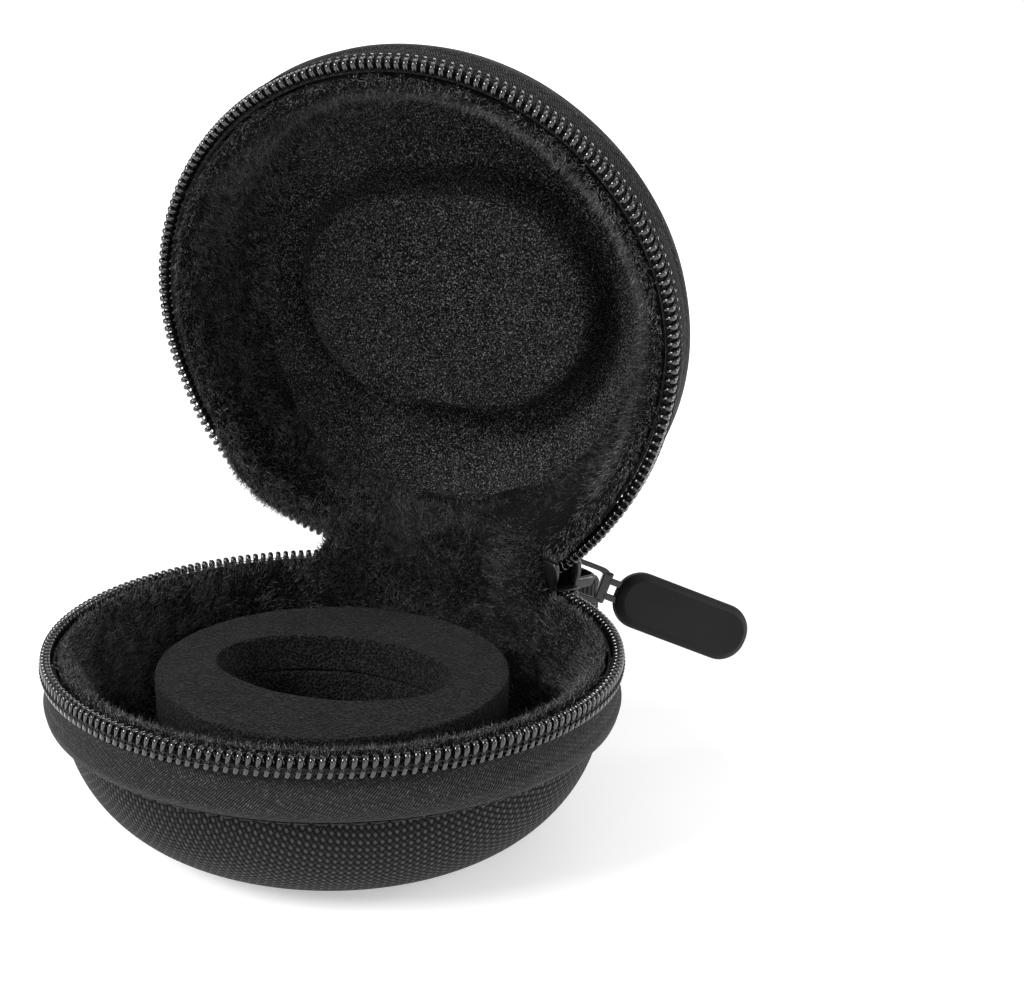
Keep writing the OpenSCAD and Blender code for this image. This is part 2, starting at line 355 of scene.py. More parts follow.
def mat_velvet(name, lo, hi, grain=2600, painted_glint_weight=0.5, depth=0.00022, sheen=0.06):
    m = Mat(name, rough=0.8, spec=0.06, sheen=sheen, sheen_rough=0.35)
    nt = m.nt
    big = noise(nt, m.obj, 38, 3)
    mid = noise(nt, m.obj, 260, 3)
    fine = noise(nt, m.obj, grain, 2, 0.7)
    # painted glints: bright specks put into the velvet's base colour, with lower roughness on them
    painted_glints = ramp(nt, noise(nt, m.obj, grain * 1.3, 1, 0.5), 0.60, 0.72)
    tone = op(nt, "POWER", ramp(nt, fine, 0.44, 0.70), 2.0) * 0.30 + ramp(nt, big, 0.35, 0.7) * 0.02 + painted_glints * painted_glint_weight
    tone = op(nt, "MINIMUM", tone, 1.0)
    m.color(mix(nt, tone, lo, hi))
    m.rough(0.85 - 0.35 * painted_glints)
    m.bump((big, 0.0006), (mid, 0.0004), (fine, depth))
    return m.m


def mat_fibre(name, lo, hi, rough=0.5, sheen=0.05, spec=0.22):
    m = Mat(name, rough=rough, spec=spec, sheen=sheen, sheen_rough=0.3)
    nt = m.nt
    t = noise(nt, m.obj, 520, 2) * 0.8 + noise(nt, m.obj, 60, 2) * 0.5 - 0.2
    # painted highlights: bright specks in the fibres' base colour
    painted_specks = ramp(nt, noise(nt, m.obj, 3000, 1), 0.48, 0.74)
    m.color(mix(nt, painted_specks * 0.75 + ramp(nt, t, 0.2, 0.8) * 0.25, lo, hi))
    return m.m


def mat_plain(name, lo, hi, scale=300, rough=0.5, rough_var=0.1, bump=0.00003, bump_scale=1500, **kw):
    m = Mat(name, rough=rough, **kw)
    nt = m.nt
    n = noise(nt, m.obj, scale, 3)
    m.color(mix(nt, ramp(nt, n, 0.3, 0.7), lo, hi))
    m.rough(rough + rough_var * (noise(nt, m.obj, scale * 2.3, 3) - 0.5))
    m.bump((noise(nt, m.obj, bump_scale, 3), bump))
    return m.m


def mat_foam(name):
    m = Mat(name, rough=0.92, spec=0.12, sheen=0.03)
    nt = m.nt
    cells = voronoi(nt, m.obj, 2100)
    d = S(nt, cells.outputs["Distance"])
    edge = ramp(nt, d, 0.35, 0.75)
    fleck = ramp(nt, noise(nt, m.obj, 2900, 1), 0.60, 0.72)
    tone = edge * 0.45 + fleck * 0.55 + (noise(nt, m.obj, 240, 2) - 0.5) * 0.3
    m.color(mix(nt, op(nt, "MAXIMUM", tone, 0.0), (0.002, 0.002, 0.0021), (0.038, 0.038, 0.038)))
    m.bump((noise(nt, m.obj, 350, 3), 0.0003), (d, 0.0004))
    return m.m


def mat_grosgrain(name):
    m = Mat(name, rough=0.6, spec=0.25, sheen=0.05, sheen_rough=0.4)
    nt = m.nt
    u, v = m.uv()
    ribs = op(nt, "SINE", u * (2 * PI / 0.8)) * 0.5 + 0.5
    yarn = op(nt, "SINE", v * (2 * PI / 0.42)) * 0.5 + 0.5
    h = op(nt, "POWER", ribs, 0.7) * (0.75 + 0.25 * yarn)
    m.color(mix(nt, ramp(nt, h, 0.1, 1.0) * (0.7 + 0.5 * noise(nt, m.obj, 900, 2)), (0.005, 0.005, 0.0055), (0.06, 0.062, 0.066)))
    m.bump((h, 0.00016))
    return m.m


def mat_rubber(name):
    m = Mat(name, rough=0.5, spec=0.16, sheen=0.0)
    nt = m.nt
    n = noise(nt, m.obj, 90, 3)
    m.color(mix(nt, ramp(nt, n, 0.3, 0.7), (0.0065, 0.0065, 0.0067), (0.0085, 0.0085, 0.0088)))
    m.rough(0.52 + 0.14 * (noise(nt, m.obj, 700, 3) - 0.5))
    m.bump((noise(nt, m.obj, 3200, 3), 0.00002))
    return m.m


M_COVER = mat_weave("cover_weave")
M_STRIP = mat_weave("strip_weave")
M_TWILL = mat_twill("band_twill")
M_PLUSH = mat_velvet("plush_ground", (0.002, 0.002, 0.0021), (0.022, 0.022, 0.023), painted_glint_weight=0.1)
M_VELVET = mat_velvet("short_velvet", (0.0012, 0.0012, 0.0013), (0.22, 0.222, 0.23), painted_glint_weight=0.8, sheen=0.0)
M_FUR = mat_fibre("plush_fibre", (0.006, 0.006, 0.0062), (0.31, 0.312, 0.322), sheen=0.02)
M_NAP = mat_fibre("velvet_nap", (0.0015, 0.0015, 0.0016), (0.38, 0.383, 0.392), sheen=0.0, spec=0.1)
M_COIL = mat_plain("coil_nylon", (0.0015, 0.0015, 0.0016), (0.004, 0.004, 0.0042), rough=0.12, rough_var=0.05, spec=0.55, coat=0.8, coat_rough=0.03)
M_THREAD = mat_plain("thread", (0.006, 0.006, 0.0063), (0.03, 0.031, 0.033), scale=1800, rough=0.6, bump=0.0001, spec=0.25, sheen=0.04)
M_STITCH = mat_plain("coil_thread", (0.003, 0.003, 0.0032), (0.012, 0.012, 0.0125), scale=1800, rough=0.5, bump=0.0001, spec=0.25)
M_BOARD = mat_plain("moulded_board", (0.01, 0.01, 0.0105), (0.025, 0.025, 0.027), scale=900, rough=0.9, bump=0.0001, spec=0.2)
M_METAL = mat_plain("slider_paint", (0.003, 0.003, 0.0033), (0.008, 0.008, 0.0083), rough=0.28, rough_var=0.15, spec=0.45, coat=0.25, coat_rough=0.12, bump=0.00002)
M_RUBBER = mat_rubber("grip_rubber")
M_RIBBON = mat_grosgrain("ribbon")
M_FOAM = mat_foam("ring_foam")


# ---------------------------------------------------------------- how the soft rim bends
def rim_weight(ph):
    """Share of the opening that the lid's soft edge follows, by angle: less near the slider and the strip."""
    x = (np.asarray(ph, float) + 90) % 360 - 90
    return np.interp(x, [-90, -15, 0, 10, 20, 30, 38, 45, 50, 54, 57, 90, 104, 110, 120, 130, 140, 150, 165, 270],
                     [1, 1, 0.985, 0.94, 0.87, 0.80, 0.71, 0.56, 0.38, 0.16, 0, 0, 0.45, 0.6, 0.78, 0.87, 0.93, 0.965, 1, 1])


def lip_weight(ph, z):
    """The same for the plush edge at height z of the closed lower half."""
    x = (np.asarray(ph, float) + 90) % 360 - 90
    w = np.maximum(rim_weight(ph), np.interp(x, [-90, 40, 57, 76, 90, 110, 270], [0, 0.3, 0.42, 0.5, 0.5, 0.5, 0.5]))
    w = w - np.interp(x, [100, 106, 114, 122, 132, 141, 149, 156], [0, 0.05, 0.15, 0.21, 0.23, 0.18, 0.08, 0])
    return w + (1 - w) * (1 - smooth(25.5, 32.0, z))


# ---------------------------------------------------------------- moulded halves
def wall_rz(a, t):
    return (FOOT + (DOME - FOOT - t) * np.abs(np.cos(a)) ** (2 / 1.75),
            NECK - (NECK - t) * np.abs(np.sin(a)) ** (2 / 1.75))


def smax(a, b, k):
    return 0.5 * (a + b + np.sqrt((a - b) ** 2 + k * k))


def recess_z(x, y, t):
    """Height of the oval recess's surface, offset t inwards."""
    k = (21.2 - 15.0) / 8.0
    g = t * math.sqrt(1 + k * k)
    inside = min(t / 5.0, 1.0)                   # the lining's boss is steeper and stands a little nearer the hinge
    d = np.hypot(np.maximum(np.abs(x) - 7.25, 0), y - 2.4 * inside)
    z = (21.2 + 0.6 * inside + g - d) / (k - 0.3 * inside)
    top = 8.0 + t
    return top - smax(top - z, 0 * z, 1.2) + 0.25


def half_surface(t, r_in, r_out, top, nr=46, na=34, nphi=360, soft=1.3, seed=3):
    """Rows from r_in to the wall's top for the surface t inside the outer one. Returns points (rows, nphi, 3) and arc lengths."""
    rs = np.linspace(r_in, FOOT, nr, endpoint=False) if r_in < FOOT else np.array([])
    zs = np.full_like(rs, t)
    a0 = PI / 2
    if r_in > FOOT:
        a0 = math.acos(((r_in - FOOT) / (DOME - FOOT - t)) ** (1.75 / 2))
    a = np.linspace(a0, 0.0, na)
    if r_out is not None:
        a1 = math.acos(min(1.0, ((r_out - FOOT) / (DOME - FOOT - t)) ** (1.75 / 2)))
        a = np.linspace(a0, a1, na)
    wr, wz = wall_rz(a, t)
    rs, zs = np.concatenate([rs, wr]), np.concatenate([zs, wz])
    if r_out is None and top > NECK:
        rs, zs = np.append(rs, DOME - t), np.append(zs, top)
    ph = np.linspace(0, 360, nphi, endpoint=False)
    P = polar(rs[:, None], ph[None, :], zs[:, None])
    z = smax(P[..., 2], recess_z(P[..., 0], P[..., 1], t), soft)
    keep = smooth(36, 42, rs)[:, None]
    P[..., 2] = z * (1 - keep) + P[..., 2] * keep
    s = np.concatenate([[rs[0]], rs[0] + np.cumsum(np.hypot(np.diff(rs), np.diff(zs)))])
    return P, s, ph


def stitch_shell(rows_a, rows_b):
    """One closed mesh from an outer and an inner grid that share their number of columns. Both run from the middle (or inner edge) to the top."""
    na, n, _ = rows_a.shape
    nb = rows_b.shape[0]
    V = np.vstack([rows_a.reshape(-1, 3), rows_b[::-1].reshape(-1, 3)])
    return V, na + nb, n


def build_cover(name, lid, slot, node):
    outer, s, ph = half_surface(0.0, 0.4, None, NECK + 0.4)
    inner, _, _ = half_surface(0.62, 0.4, None, NECK + 0.4, nr=16, na=12)
    a = np.radians(ph)
    wob = 0.12 * noise1(a, 11 + lid, 6)[None, :] * smooth(30, 44, s)[:, None] * (1 - smooth(s[-1] - 4, s[-1], s))[:, None]
    rad = polar(1.0, ph, 0.0)[None, :, :]
    outer = outer - rad * (wob + 0.12)[..., None]
    outer[..., 2] = np.maximum(outer[..., 2], 0.0)
    V, nu, nv = stitch_shell(outer, inner)
    F = [grid(nu, nv, False, True, flip=not lid)]
    n0 = len(V)
    c0, c1 = outer[0].mean(0), inner[0].mean(0)
    V = np.vstack([V, c0, c1])
    j = np.arange(nv)
    f0 = np.stack([j, (j + 1) % nv, np.full(nv, n0)], -1)
    f1 = np.stack([(nu - 1) * nv + j, (nu - 1) * nv + (j + 1) % nv, np.full(nv, n0 + 1)], -1)[:, ::-1]
    F += [f0[:, ::-1] if not lid else f0, f1[:, ::-1] if not lid else f1]
    # the cloth was flat before it was pressed: distance from the middle along the surface
    s = np.where(s > 38, 38 + (s - 38) * 0.85, s)
    ring = s[:, None] * (1 + 0 * a[None, :])
    c45 = math.radians(-14)
    U = np.stack([ring * np.cos(a - c45), ring * np.sin(a - c45)], -1)
    Ui = np.repeat(U[-1:], inner.shape[0], 0)
    uv = np.vstack([U.reshape(-1, 2), Ui.reshape(-1, 2), [[0, 0]], [[0, 0]]])
    if lid:
        V = opened(to_lid(V))
    ob = add(name, V, F, M_COVER, uv)
    return rideon(ob, "lid" if lid else "base", slot, node)


build_cover("base_cover_cloth", False, "cover_weave", "base_cover")
build_cover("lid_cover_cloth", True, "cover_weave", "lid_cover")


def hinge_side(ph):
    """1 beside the hinge, 0 on the other side."""
    off = np.abs((np.asarray(ph, float) - 90 + 180) % 360 - 180)
    return 1 - smooth(30, 118, off)


def velvet(lid):
    """The velvet's face. In the lid it runs further up the wall beside the hinge and dips under the plush elsewhere."""
    if not lid:
        return half_surface(5.0, 0.4, 38.0, None, nr=50, na=14, soft=0.8)
    A, s, ph = half_surface(5.0, 0.4, 44.6, None, nr=50, na=26, soft=0.8)
    B = half_surface(4.1, 0.4, 44.6, None, nr=50, na=26, soft=0.8)[0]
    C = half_surface(5.4, 0.4, 44.6, None, nr=50, na=26, soft=0.8)[0]
    r = np.hypot(A[..., 0], A[..., 1])
    hs = hinge_side(ph)[None, :]
    edge = 37.6 + 5.8 * hs
    lift = (smooth(33.0, 37.5, r) * smooth(0.0, 0.25, hs))[..., None]
    up = (1 - smooth(-0.6, 0.7, r - edge))[..., None]
    return (A * (1 - lift) + C * lift) * up + B * (1 - up), s, ph


def build_floor(name, lid, node):
    top, s, ph = velvet(lid)
    low, _, _ = half_surface(3.6, 0.4, 44.8 if lid else 38.2, None, nr=16, na=12 if lid else 6)
    a = np.radians(ph)
    top[..., 2] += 0.10 * np.sin(top[..., 0] * 0.9 + 1.3 * lid) * np.sin(top[..., 1] * 0.8 + 0.4) * smooth(36, 30, s)[:, None]
    V, nu, nv = stitch_shell(low, top)
    F = [grid(nu, nv, False, True, flip=not lid)]
    n0 = len(V)
    V = np.vstack([V, low[0].mean(0), top[0].mean(0)])
    j = np.arange(nv)
    f0 = np.stack([j, (j + 1) % nv, np.full(nv, n0)], -1)
    f1 = np.stack([(nu - 1) * nv + j, (nu - 1) * nv + (j + 1) % nv, np.full(nv, n0 + 1)], -1)[:, ::-1]
    F += [f0[:, ::-1] if not lid else f0, f1[:, ::-1] if not lid else f1]
    if lid:
        V = opened(to_lid(V))
    ob = add(name, V, F, M_VELVET)
    return rideon(ob, "lid" if lid else "base", "plush", node)


build_floor("base_floor_velvet", False, "base_floor_lining")
build_floor("lid_floor_velvet", True, "lid_floor_lining")


def wall_profile():
    """Inner face of the plush wall: (r, z) from the floor's edge up to the lip's top."""
    a0 = math.acos(((37.4 - FOOT) / (DOME - FOOT - 5.0)) ** (1.75 / 2))
    a = np.linspace(a0, 0.0, 16)
    r, z = wall_rz(a, 5.0)
    lip = np.array([[43.7, 22.2], [43.9, 23.8], [44.3, 25.6], [44.8, 27.4], [45.4, 29.4], [46.0, 31.1], [46.7, 32.2], [47.5, 32.7], [48.2, 32.55], [48.55, 31.8]])
    back = np.array([[48.6, 29.5], [48.5, 26.5], [47.3, 24.4], [45.4, 22.5], [45.0, 21.2]])
    r2, z2 = wall_rz(np.linspace(0.15, a0, 8), 3.6)
    return np.vstack([np.stack([r, z], -1), lip, back, np.stack([r2, z2], -1)]), len(r) + len(lip)


def build_wall(name, lid, node):
    prof, n_face = wall_profile()
    ph = np.linspace(0, 360, 480, endpoint=False)
    a = np.radians(ph)
    off = np.abs((ph - 90 + 180) % 360 - 180)
    fade = smooth(9, 19, off)                     # the lip sinks towards the hinge
    R = np.repeat(prof[:, 0:1], len(ph), 1)
    Z = np.repeat(prof[:, 1:2], len(ph), 1)
    low = 23.2
    Z = np.where(Z > low, low + (Z - low) * (0.03 + 0.97 * fade[None, :]), Z)
    lump = 0.35 * noise1(a, 21 + lid, 14, 2.0)[None, :] + 0.22 * np.sin(Z * 0.9 + 5 * noise1(a, 5 + lid, 9, 2)[None, :])
    inner = (np.arange(len(prof)) < n_face - 3)[:, None]
    R = R - np.where(inner, lump * smooth(12, 20, Z), 0)
    P = polar(R, ph[None, :], Z)
    V = P.reshape(-1, 3)
    F = grid(len(prof), len(ph), True, True, flip=lid)
    if lid:
        w = lip_weight(np.degrees(np.arctan2(V[:, 1], V[:, 0])), V[:, 2])
        bend(add(name, opened(to_lid(V), w), F, M_PLUSH), w, "plush", node)
    else:
        rideon(add(name, V, F, M_PLUSH), "base", "plush", node)
    return prof[:n_face]


WALL = build_wall("base_wall_plush", False, "base_wall_lining")
build_wall("lid_wall_plush", True, "lid_wall_lining")


# ---------------------------------------------------------------- pile
def fibres(roots, dirs, length, width, side, seed, bend_dir=None, curl=0.25):
    """Thin tapered blades: root, middle and tip."""
    g = np.random.default_rng(seed)
    n = len(roots)
    d = dirs / np.linalg.norm(dirs, axis=1, keepdims=True)
    side = side - (side * d).sum(1, keepdims=True) * d
    side /= np.linalg.norm(side, axis=1, keepdims=True) + 1e-9
    up2 = np.cross(d, side)
    th = g.uniform(0, 2 * PI, n)[:, None]
    s = side * np.cos(th) + up2 * np.sin(th)
    kick = (bend_dir if bend_dir is not None else g.normal(size=(n, 3))) * curl
    L = length[:, None]
    m = roots + d * L * 0.52 + kick * L * 0.22
    t = roots + d * L + kick * L * 0.85
    w = width[:, None] * s
    V = np.stack([roots - w, roots + w, m - w * 0.8, m + w * 0.8, t], 1).reshape(-1, 3)
    i = np.arange(n)[:, None] * 5
    return V, [i + np.array([[0, 1, 3, 2]]), i + np.array([[2, 3, 4]])]


def value_noise(p, scale, seed):
    """Cheap smooth 3-D noise, -1 to 1."""
    g = np.random.default_rng(seed)
    out = np.zeros(len(p))
    for _ in range(6):
        k = g.normal(size=3)
        k *= scale / np.linalg.norm(k) * g.uniform(0.6, 1.6)
        out += np.sin(p @ k + g.uniform(0, 6.28))
    return out / 3.0


def build_fur(name, lid, count, seed):
    g = np.random.default_rng(seed)
    seg = np.linalg.norm(np.diff(WALL, axis=0), axis=1) * (WALL[:-1, 0] + WALL[1:, 0]) / 2
    cum = np.concatenate([[0], np.cumsum(seg)]) / seg.sum()
    x = g.uniform(0, 1, count)
    k = np.clip(np.searchsorted(cum, x) - 1, 0, len(WALL) - 2)
    f = (x - cum[k]) / (cum[k + 1] - cum[k])
    rz = WALL[k] * (1 - f[:, None]) + WALL[k + 1] * f[:, None]
    tan = WALL[k + 1] - WALL[k]
    tan /= np.linalg.norm(tan, axis=1, keepdims=True)
    nrm = np.stack([-tan[:, 1], tan[:, 0]], -1)         # towards the hollow
    ph = g.uniform(0, 360, count)
    off = np.abs((ph - 90 + 180) % 360 - 180)
    fade = smooth(9, 19, off)
    z = np.where(rz[:, 1] > 23.2, 23.2 + (rz[:, 1] - 23.2) * (0.03 + 0.97 * fade), rz[:, 1])
    ok = (fade > 0.25) | (rz[:, 1] < 23.2)
    if lid:
        ok &= rz[:, 0] > 36.9 + 5.8 * hinge_side(ph) + 0.5 * value_noise(polar(rz[:, 0], ph, rz[:, 1]), 0.35, 39)
    rz, nrm, tan, ph, z, fade = rz[ok], nrm[ok], tan[ok], ph[ok], z[ok], fade[ok]
    n = len(z)
    root = polar(rz[:, 0] + 0.15, ph, z)
    er = polar(1.0, ph, 0.0)
    ez = np.array([0, 0, 1.0])
    et = polar(1.0, ph + 90, 0.0)
    N3 = er * nrm[:, :1] + ez * nrm[:, 1:]
    T3 = er * tan[:, :1] + ez * tan[:, 1:]
    q = root + (500 if lid else 0)
    c1, c2, c3 = value_noise(q, 0.42, 31), value_noise(q, 0.42, 32), value_noise(q, 1.5, 33)
    low = 1 - smooth(9, 17, rz[:, 1])
    d = N3 * (0.75 + 0.2 * c3[:, None]) + T3 * (0.5 + 0.28 * c1 - 0.9 * low)[:, None] + et * (0.34 * c2 + 0.3 * c3)[:, None] + g.normal(size=(n, 3)) * 0.24
    top = smooth(30.6, 32.4, z)
    d = d * (1 - top[:, None]) + (ez * 0.55 + et * 0.3 * c2[:, None] + er * (0.2 * c1 - 0.1)[:, None] + g.normal(size=(n, 3)) * 0.3) * top[:, None]
    L = (1.6 + 0.25 * c1 + 0.35 * g.normal(size=n)).clip(0.6, 2.6) * (1 - 0.4 * top) * (1 - 0.3 * low)
    V, F = fibres(root, d, L, g.uniform(0.04, 0.075, n), et, seed + 1, curl=0.22)
    if lid:
        # a fringe that hangs out over the coil beside the fold
        base_root = root
        m = count // 14
        ph = np.concatenate([g.uniform(97, 152, m * 4 // 5), g.uniform(56, 80, m - m * 4 // 5)])
        q = g.uniform(0, 1, m)
        r0, z0 = 45.4 + 3.2 * q, np.interp(q, [0, 0.3, 0.6, 1], [29.6, 31.3, 32.4, 32.0])
        root = polar(r0, ph, z0)
        er, et = polar(1.0, ph, 0.0), polar(1.0, ph + 90, 0.0)
        c1, c2 = value_noise(root, 0.5, 35), value_noise(root, 0.9, 36)
        d = er * (1.5 * q - 0.6 + 0.2 * c1)[:, None] + ez * (0.5 + 0.2 * c2)[:, None] + et * (0.3 * c2)[:, None] + g.normal(size=(m, 3)) * 0.35
        L = (1.7 + 0.3 * c1 + 0.35 * g.normal(size=m)).clip(0.8, 2.8) * (1 - 0.4 * smooth(138, 152, ph)) + 0.8 * smooth(122, 108, ph) * smooth(88, 97, ph)
        V2, F2 = fibres(root, d, L, g.uniform(0.03, 0.055, m), et, seed + 7, curl=0.25)
        w = np.repeat(np.concatenate([lip_weight(np.degrees(np.arctan2(p[:, 1], p[:, 0])), p[:, 2]) for p in (base_root, root)]), 5)
        V, F = join([(V, F), (V2, F2)])
        return bend(add(name, opened(to_lid(V), w), F, M_FUR, solid=False), w, "plush")
    return rideon(add(name, V, F, M_FUR, solid=False), "base", "plush")


build_fur("base_wall_pile", False, 80000, 41)
build_fur("lid_wall_pile", True, 80000, 42)


def build_nap(name, lid, count, seed):
    """Short pile on the floor and its boss."""
    g = np.random.default_rng(seed)
    top, s, ph = velvet(lid)
    nr, nv, _ = top.shape
    r = np.hypot(top[:, 0, 0], top[:, 0, 1])
    w = (r[:-1] + r[1:]) / 2 * np.diff(s)
    cum = np.concatenate([[0], np.cumsum(w)]) / w.sum()
    x = g.uniform(0, 1, count)
    k = np.clip(np.searchsorted(cum, x) - 1, 0, nr - 2)
    f = ((x - cum[k]) / (cum[k + 1] - cum[k]))[:, None]
    b = g.uniform(0, nv, count)
    j = b.astype(int) % nv
    fb = (b - b.astype(int))[:, None]
    j2 = (j + 1) % nv
    p00, p01, p10, p11 = top[k, j], top[k, j2], top[k + 1, j], top[k + 1, j2]
    root = (p00 * (1 - fb) + p01 * fb) * (1 - f) + (p10 * (1 - fb) + p11 * fb) * f
    nrm = np.cross(p01 - p00, p10 - p00)
    nrm /= np.linalg.norm(nrm, axis=1, keepdims=True) + 1e-9
    nrm *= np.sign(nrm[:, 2:3] + 1e-9)
    c1, c2 = value_noise(root + 90 * lid, 0.5, 51), value_noise(root + 90 * lid, 0.5, 52)
    d = nrm + np.stack([0.5 * c1 + 0.35, 0.5 * c2 - 0.2, 0 * c1], -1) + g.normal(size=(count, 3)) * 0.35
    side = np.cross(d, [0.3, 0.9, 0.1])
    V, F = fibres(root - nrm * 0.05, d, g.uniform(0.28, 0.6, count), g.uniform(0.035, 0.06, count), side, seed + 1, curl=0.3)
    if lid:
        rr, aa = np.hypot(root[:, 0], root[:, 1]), np.degrees(np.arctan2(root[:, 1], root[:, 0]))
        ok = rr < 37.5 + 5.8 * hinge_side(aa)
        V = V.reshape(-1, 5, 3)[ok].reshape(-1, 3)
        n = int(ok.sum())
        F = [f[:n] for f in F]
        V = opened(to_lid(V))
    ob = add(name, V, F, M_NAP, solid=False)
    return rideon(ob, "lid" if lid else "base", "plush")


build_nap("base_floor_nap", False, 30000, 61)
build_nap("lid_floor_nap", True, 36000, 62)


# ---------------------------------------------------------------- rim bands and zip tapes
def resample(pts, n):
    pts = np.asarray(pts, float)
    d = np.concatenate([[0], np.cumsum(np.linalg.norm(np.diff(pts, axis=0), axis=1))])
    x = np.linspace(0, d[-1], n)
    return np.stack([np.interp(x, d, pts[:, 0]), np.interp(x, d, pts[:, 1])], -1), x


def rounded(pts, n, k=3):
    """A closed outline, evenly spaced and a little rounded."""
    p, _ = resample(np.vstack([pts, pts[:1]]), n + 1)
    p = p[:-1]
    for _ in range(k):
        p = (np.roll(p, 1, 0) + 2 * p + np.roll(p, -1, 0)) / 4
    return p


BAND = np.array([[49.15, H - 2.1], [49.75, H - 2.1], [49.8, 30.6], [50.0, 29.4], [50.45, 28.4], [51.0, 27.4], [51.45, 26.4], [51.75, 25.3], [51.85, 24.2], [51.6, 23.1],
                 [51.0, 22.2], [50.1, 21.6], [48.9, 21.4], [46.0, 21.45], [46.0, 22.0], [49.2, 22.1], [50.2, 22.6], [50.9, 23.5],
                 [51.05, 24.3], [50.9, 25.1], [50.4, 26.2], [49.9, 27.2], [49.4, 28.3], [49.15, 29.6]])


def build_band(name, lid, *nodes):
    n_p = 84
    p = rounded(BAND, n_p, 2)
    ph = np.linspace(103, 77 + 360, 760)
    a = np.radians(ph)
    R = np.repeat(p[:, :1], len(ph), 1)
    Z = np.repeat(p[:, 1:], len(ph), 1)
    bulge = smooth(50.0, 51.5, R)
    R = R + bulge * (0.10 * noise1(a, 71 + lid, 9, 3)[None, :] + 0.05 * np.sin((Z - 24) * 3.1 + 2.4 * noise1(a, 72 + lid, 7, 2)[None, :]))
    # two soft folds along the piping
    f1 = 25.9 + 0.5 * noise1(a, 73 + lid, 6, 2)[None, :]
    R = R - bulge * 0.22 * np.exp(-((Z - f1) / 0.28) ** 2)
    Z = Z + bulge * 0.12 * noise1(a, 74 + lid, 6, 2)[None, :]
    P = polar(R, ph[None, :], Z)
    arc = np.concatenate([[0], np.cumsum(np.linalg.norm(np.diff(p, axis=0), axis=1))])
    uv = np.stack(np.broadcast_arrays(np.radians(ph)[None, :] * 50.5, arc[:, None]), -1)
    V = P.reshape(-1, 3)
    F = [grid(n_p, len(ph), True, False)]
    # close the two ends
    n0 = len(V)
    V = np.vstack([V, P[:, 0].mean(0), P[:, -1].mean(0)])
    i = np.arange(n_p)
    L = len(ph)
    F.append(np.stack([i * L, np.full(n_p, n0), ((i + 1) % n_p) * L], -1)[:, ::-1])
    F.append(np.stack([i * L + L - 1, ((i + 1) % n_p) * L + L - 1, np.full(n_p, n0 + 1)], -1)[:, ::-1])
    uv = np.vstack([uv.reshape(-1, 2), [[0, 0], [0, 0]]])
    if not lid:
        ob = add(name, V, F, M_TWILL, uv)
        return rideon(ob, "base", "zip_tape", *nodes)
    V = to_lid(V)
    F = [f[:, ::-1] for f in F]
    z = V[:, 2] - H
    deg = np.degrees(np.arctan2(V[:, 1], V[:, 0]))
    wc = rim_weight(deg)
    w = wc + (1 - wc) * smooth(3.0, 10.5, z)
    ob = add(name, opened(V, w), F, M_TWILL, uv)
    return bend(ob, w, "zip_tape", *nodes)


build_band("base_band", False, "base_zip_tape")
build_band("lid_band", True, "lid_zip_tape", "lid_tape_end_right", "lid_tape_end_left")


# ---------------------------------------------------------------- coils
PITCH = 1.6


def coil_path(ph0, ph1, pitch=PITCH, per=18):
    """The bent monofilament: long legs between the heads at the top and the loops on the tape side. Returns (r, deg, z), wire radii."""
    turns = int(round(math.radians(ph1 - ph0) * 50.9 / pitch))
    u = np.linspace(0, 1, per, endpoint=False)
    r_in, r_out, z0, z1 = 50.25, 51.62, H - 4.2, H - 0.95
    # one turn as (r, z, share of the pitch)
    key_u = [0, 0.24, 0.30, 0.36, 0.42, 0.48, 0.54, 0.78, 0.86, 0.93, 1.0]
    key_r = [r_out, r_out, r_out - 0.05, (r_in + r_out) / 2 + 0.35, (r_in + r_out) / 2 - 0.35, r_in + 0.05, r_in, r_in, r_in + 0.22, r_out - 0.25, r_out]
    key_z = [z0 + 0.35, z1 - 0.75, z1 - 0.2, z1, z1, z1 - 0.2, z1 - 0.75, z0 + 0.4, z0, z0 - 0.02, z0 + 0.35]
    key_s = [0.0, 0.30, 0.33, 0.36, 0.40, 0.43, 0.46, 0.78, 0.86, 0.94, 1.0]
    r, z, s = np.interp(u, key_u, key_r), np.interp(u, key_u, key_z), np.interp(u, key_u, key_s)
    head = np.exp(-((u - 0.39) / 0.10) ** 2)
    t = np.repeat(np.arange(turns), per)
    step = (ph1 - ph0) / turns
    deg = ph0 + (t + np.tile(s, turns)) * step
    wa = np.tile(np.stack([0.36 + 0.08 * head, 0.50 + 0.05 * head], -1), (turns, 1))
    return np.tile(r, turns), deg, np.tile(z, turns), wa


def build_coil(name, lid, spans, node):
    parts, W = [], []
    for ph0, ph1, pitch in spans:
        r, deg, z, wa = coil_path(ph0, ph1, pitch)
        g = np.random.default_rng(5 + lid)
        path = polar(r, deg, z)
        core = polar(50.93, deg, H - 2.5)
        ref = path - core
        v, f = tube(path, wa, 8, ref)
        wv = np.repeat(rim_weight(deg), 8)
        wv = np.concatenate([wv, rim_weight(deg[[0, -1]])])
        parts.append((v, f))
        W.append(wv)
    V, F = join(parts)
    W = np.concatenate(W)
    if not lid:
        ob = add(name, V, F, M_COIL)
        return rideon(ob, "base", "zip_coil", node)
    V = opened(to_lid(V), W)
    ob = add(name, V, [f[:, ::-1] for f in F], M_COIL)
    return bend(ob, W, "zip_coil", node)


build_coil("base_coil_teeth", False, [(104, 436, PITCH)], "base_zip_coil")
build_coil("lid_coil_teeth", True, [(145, 396, PITCH), (396, 416, 1.3), (106, 145, PITCH)], "lid_zip_coil")


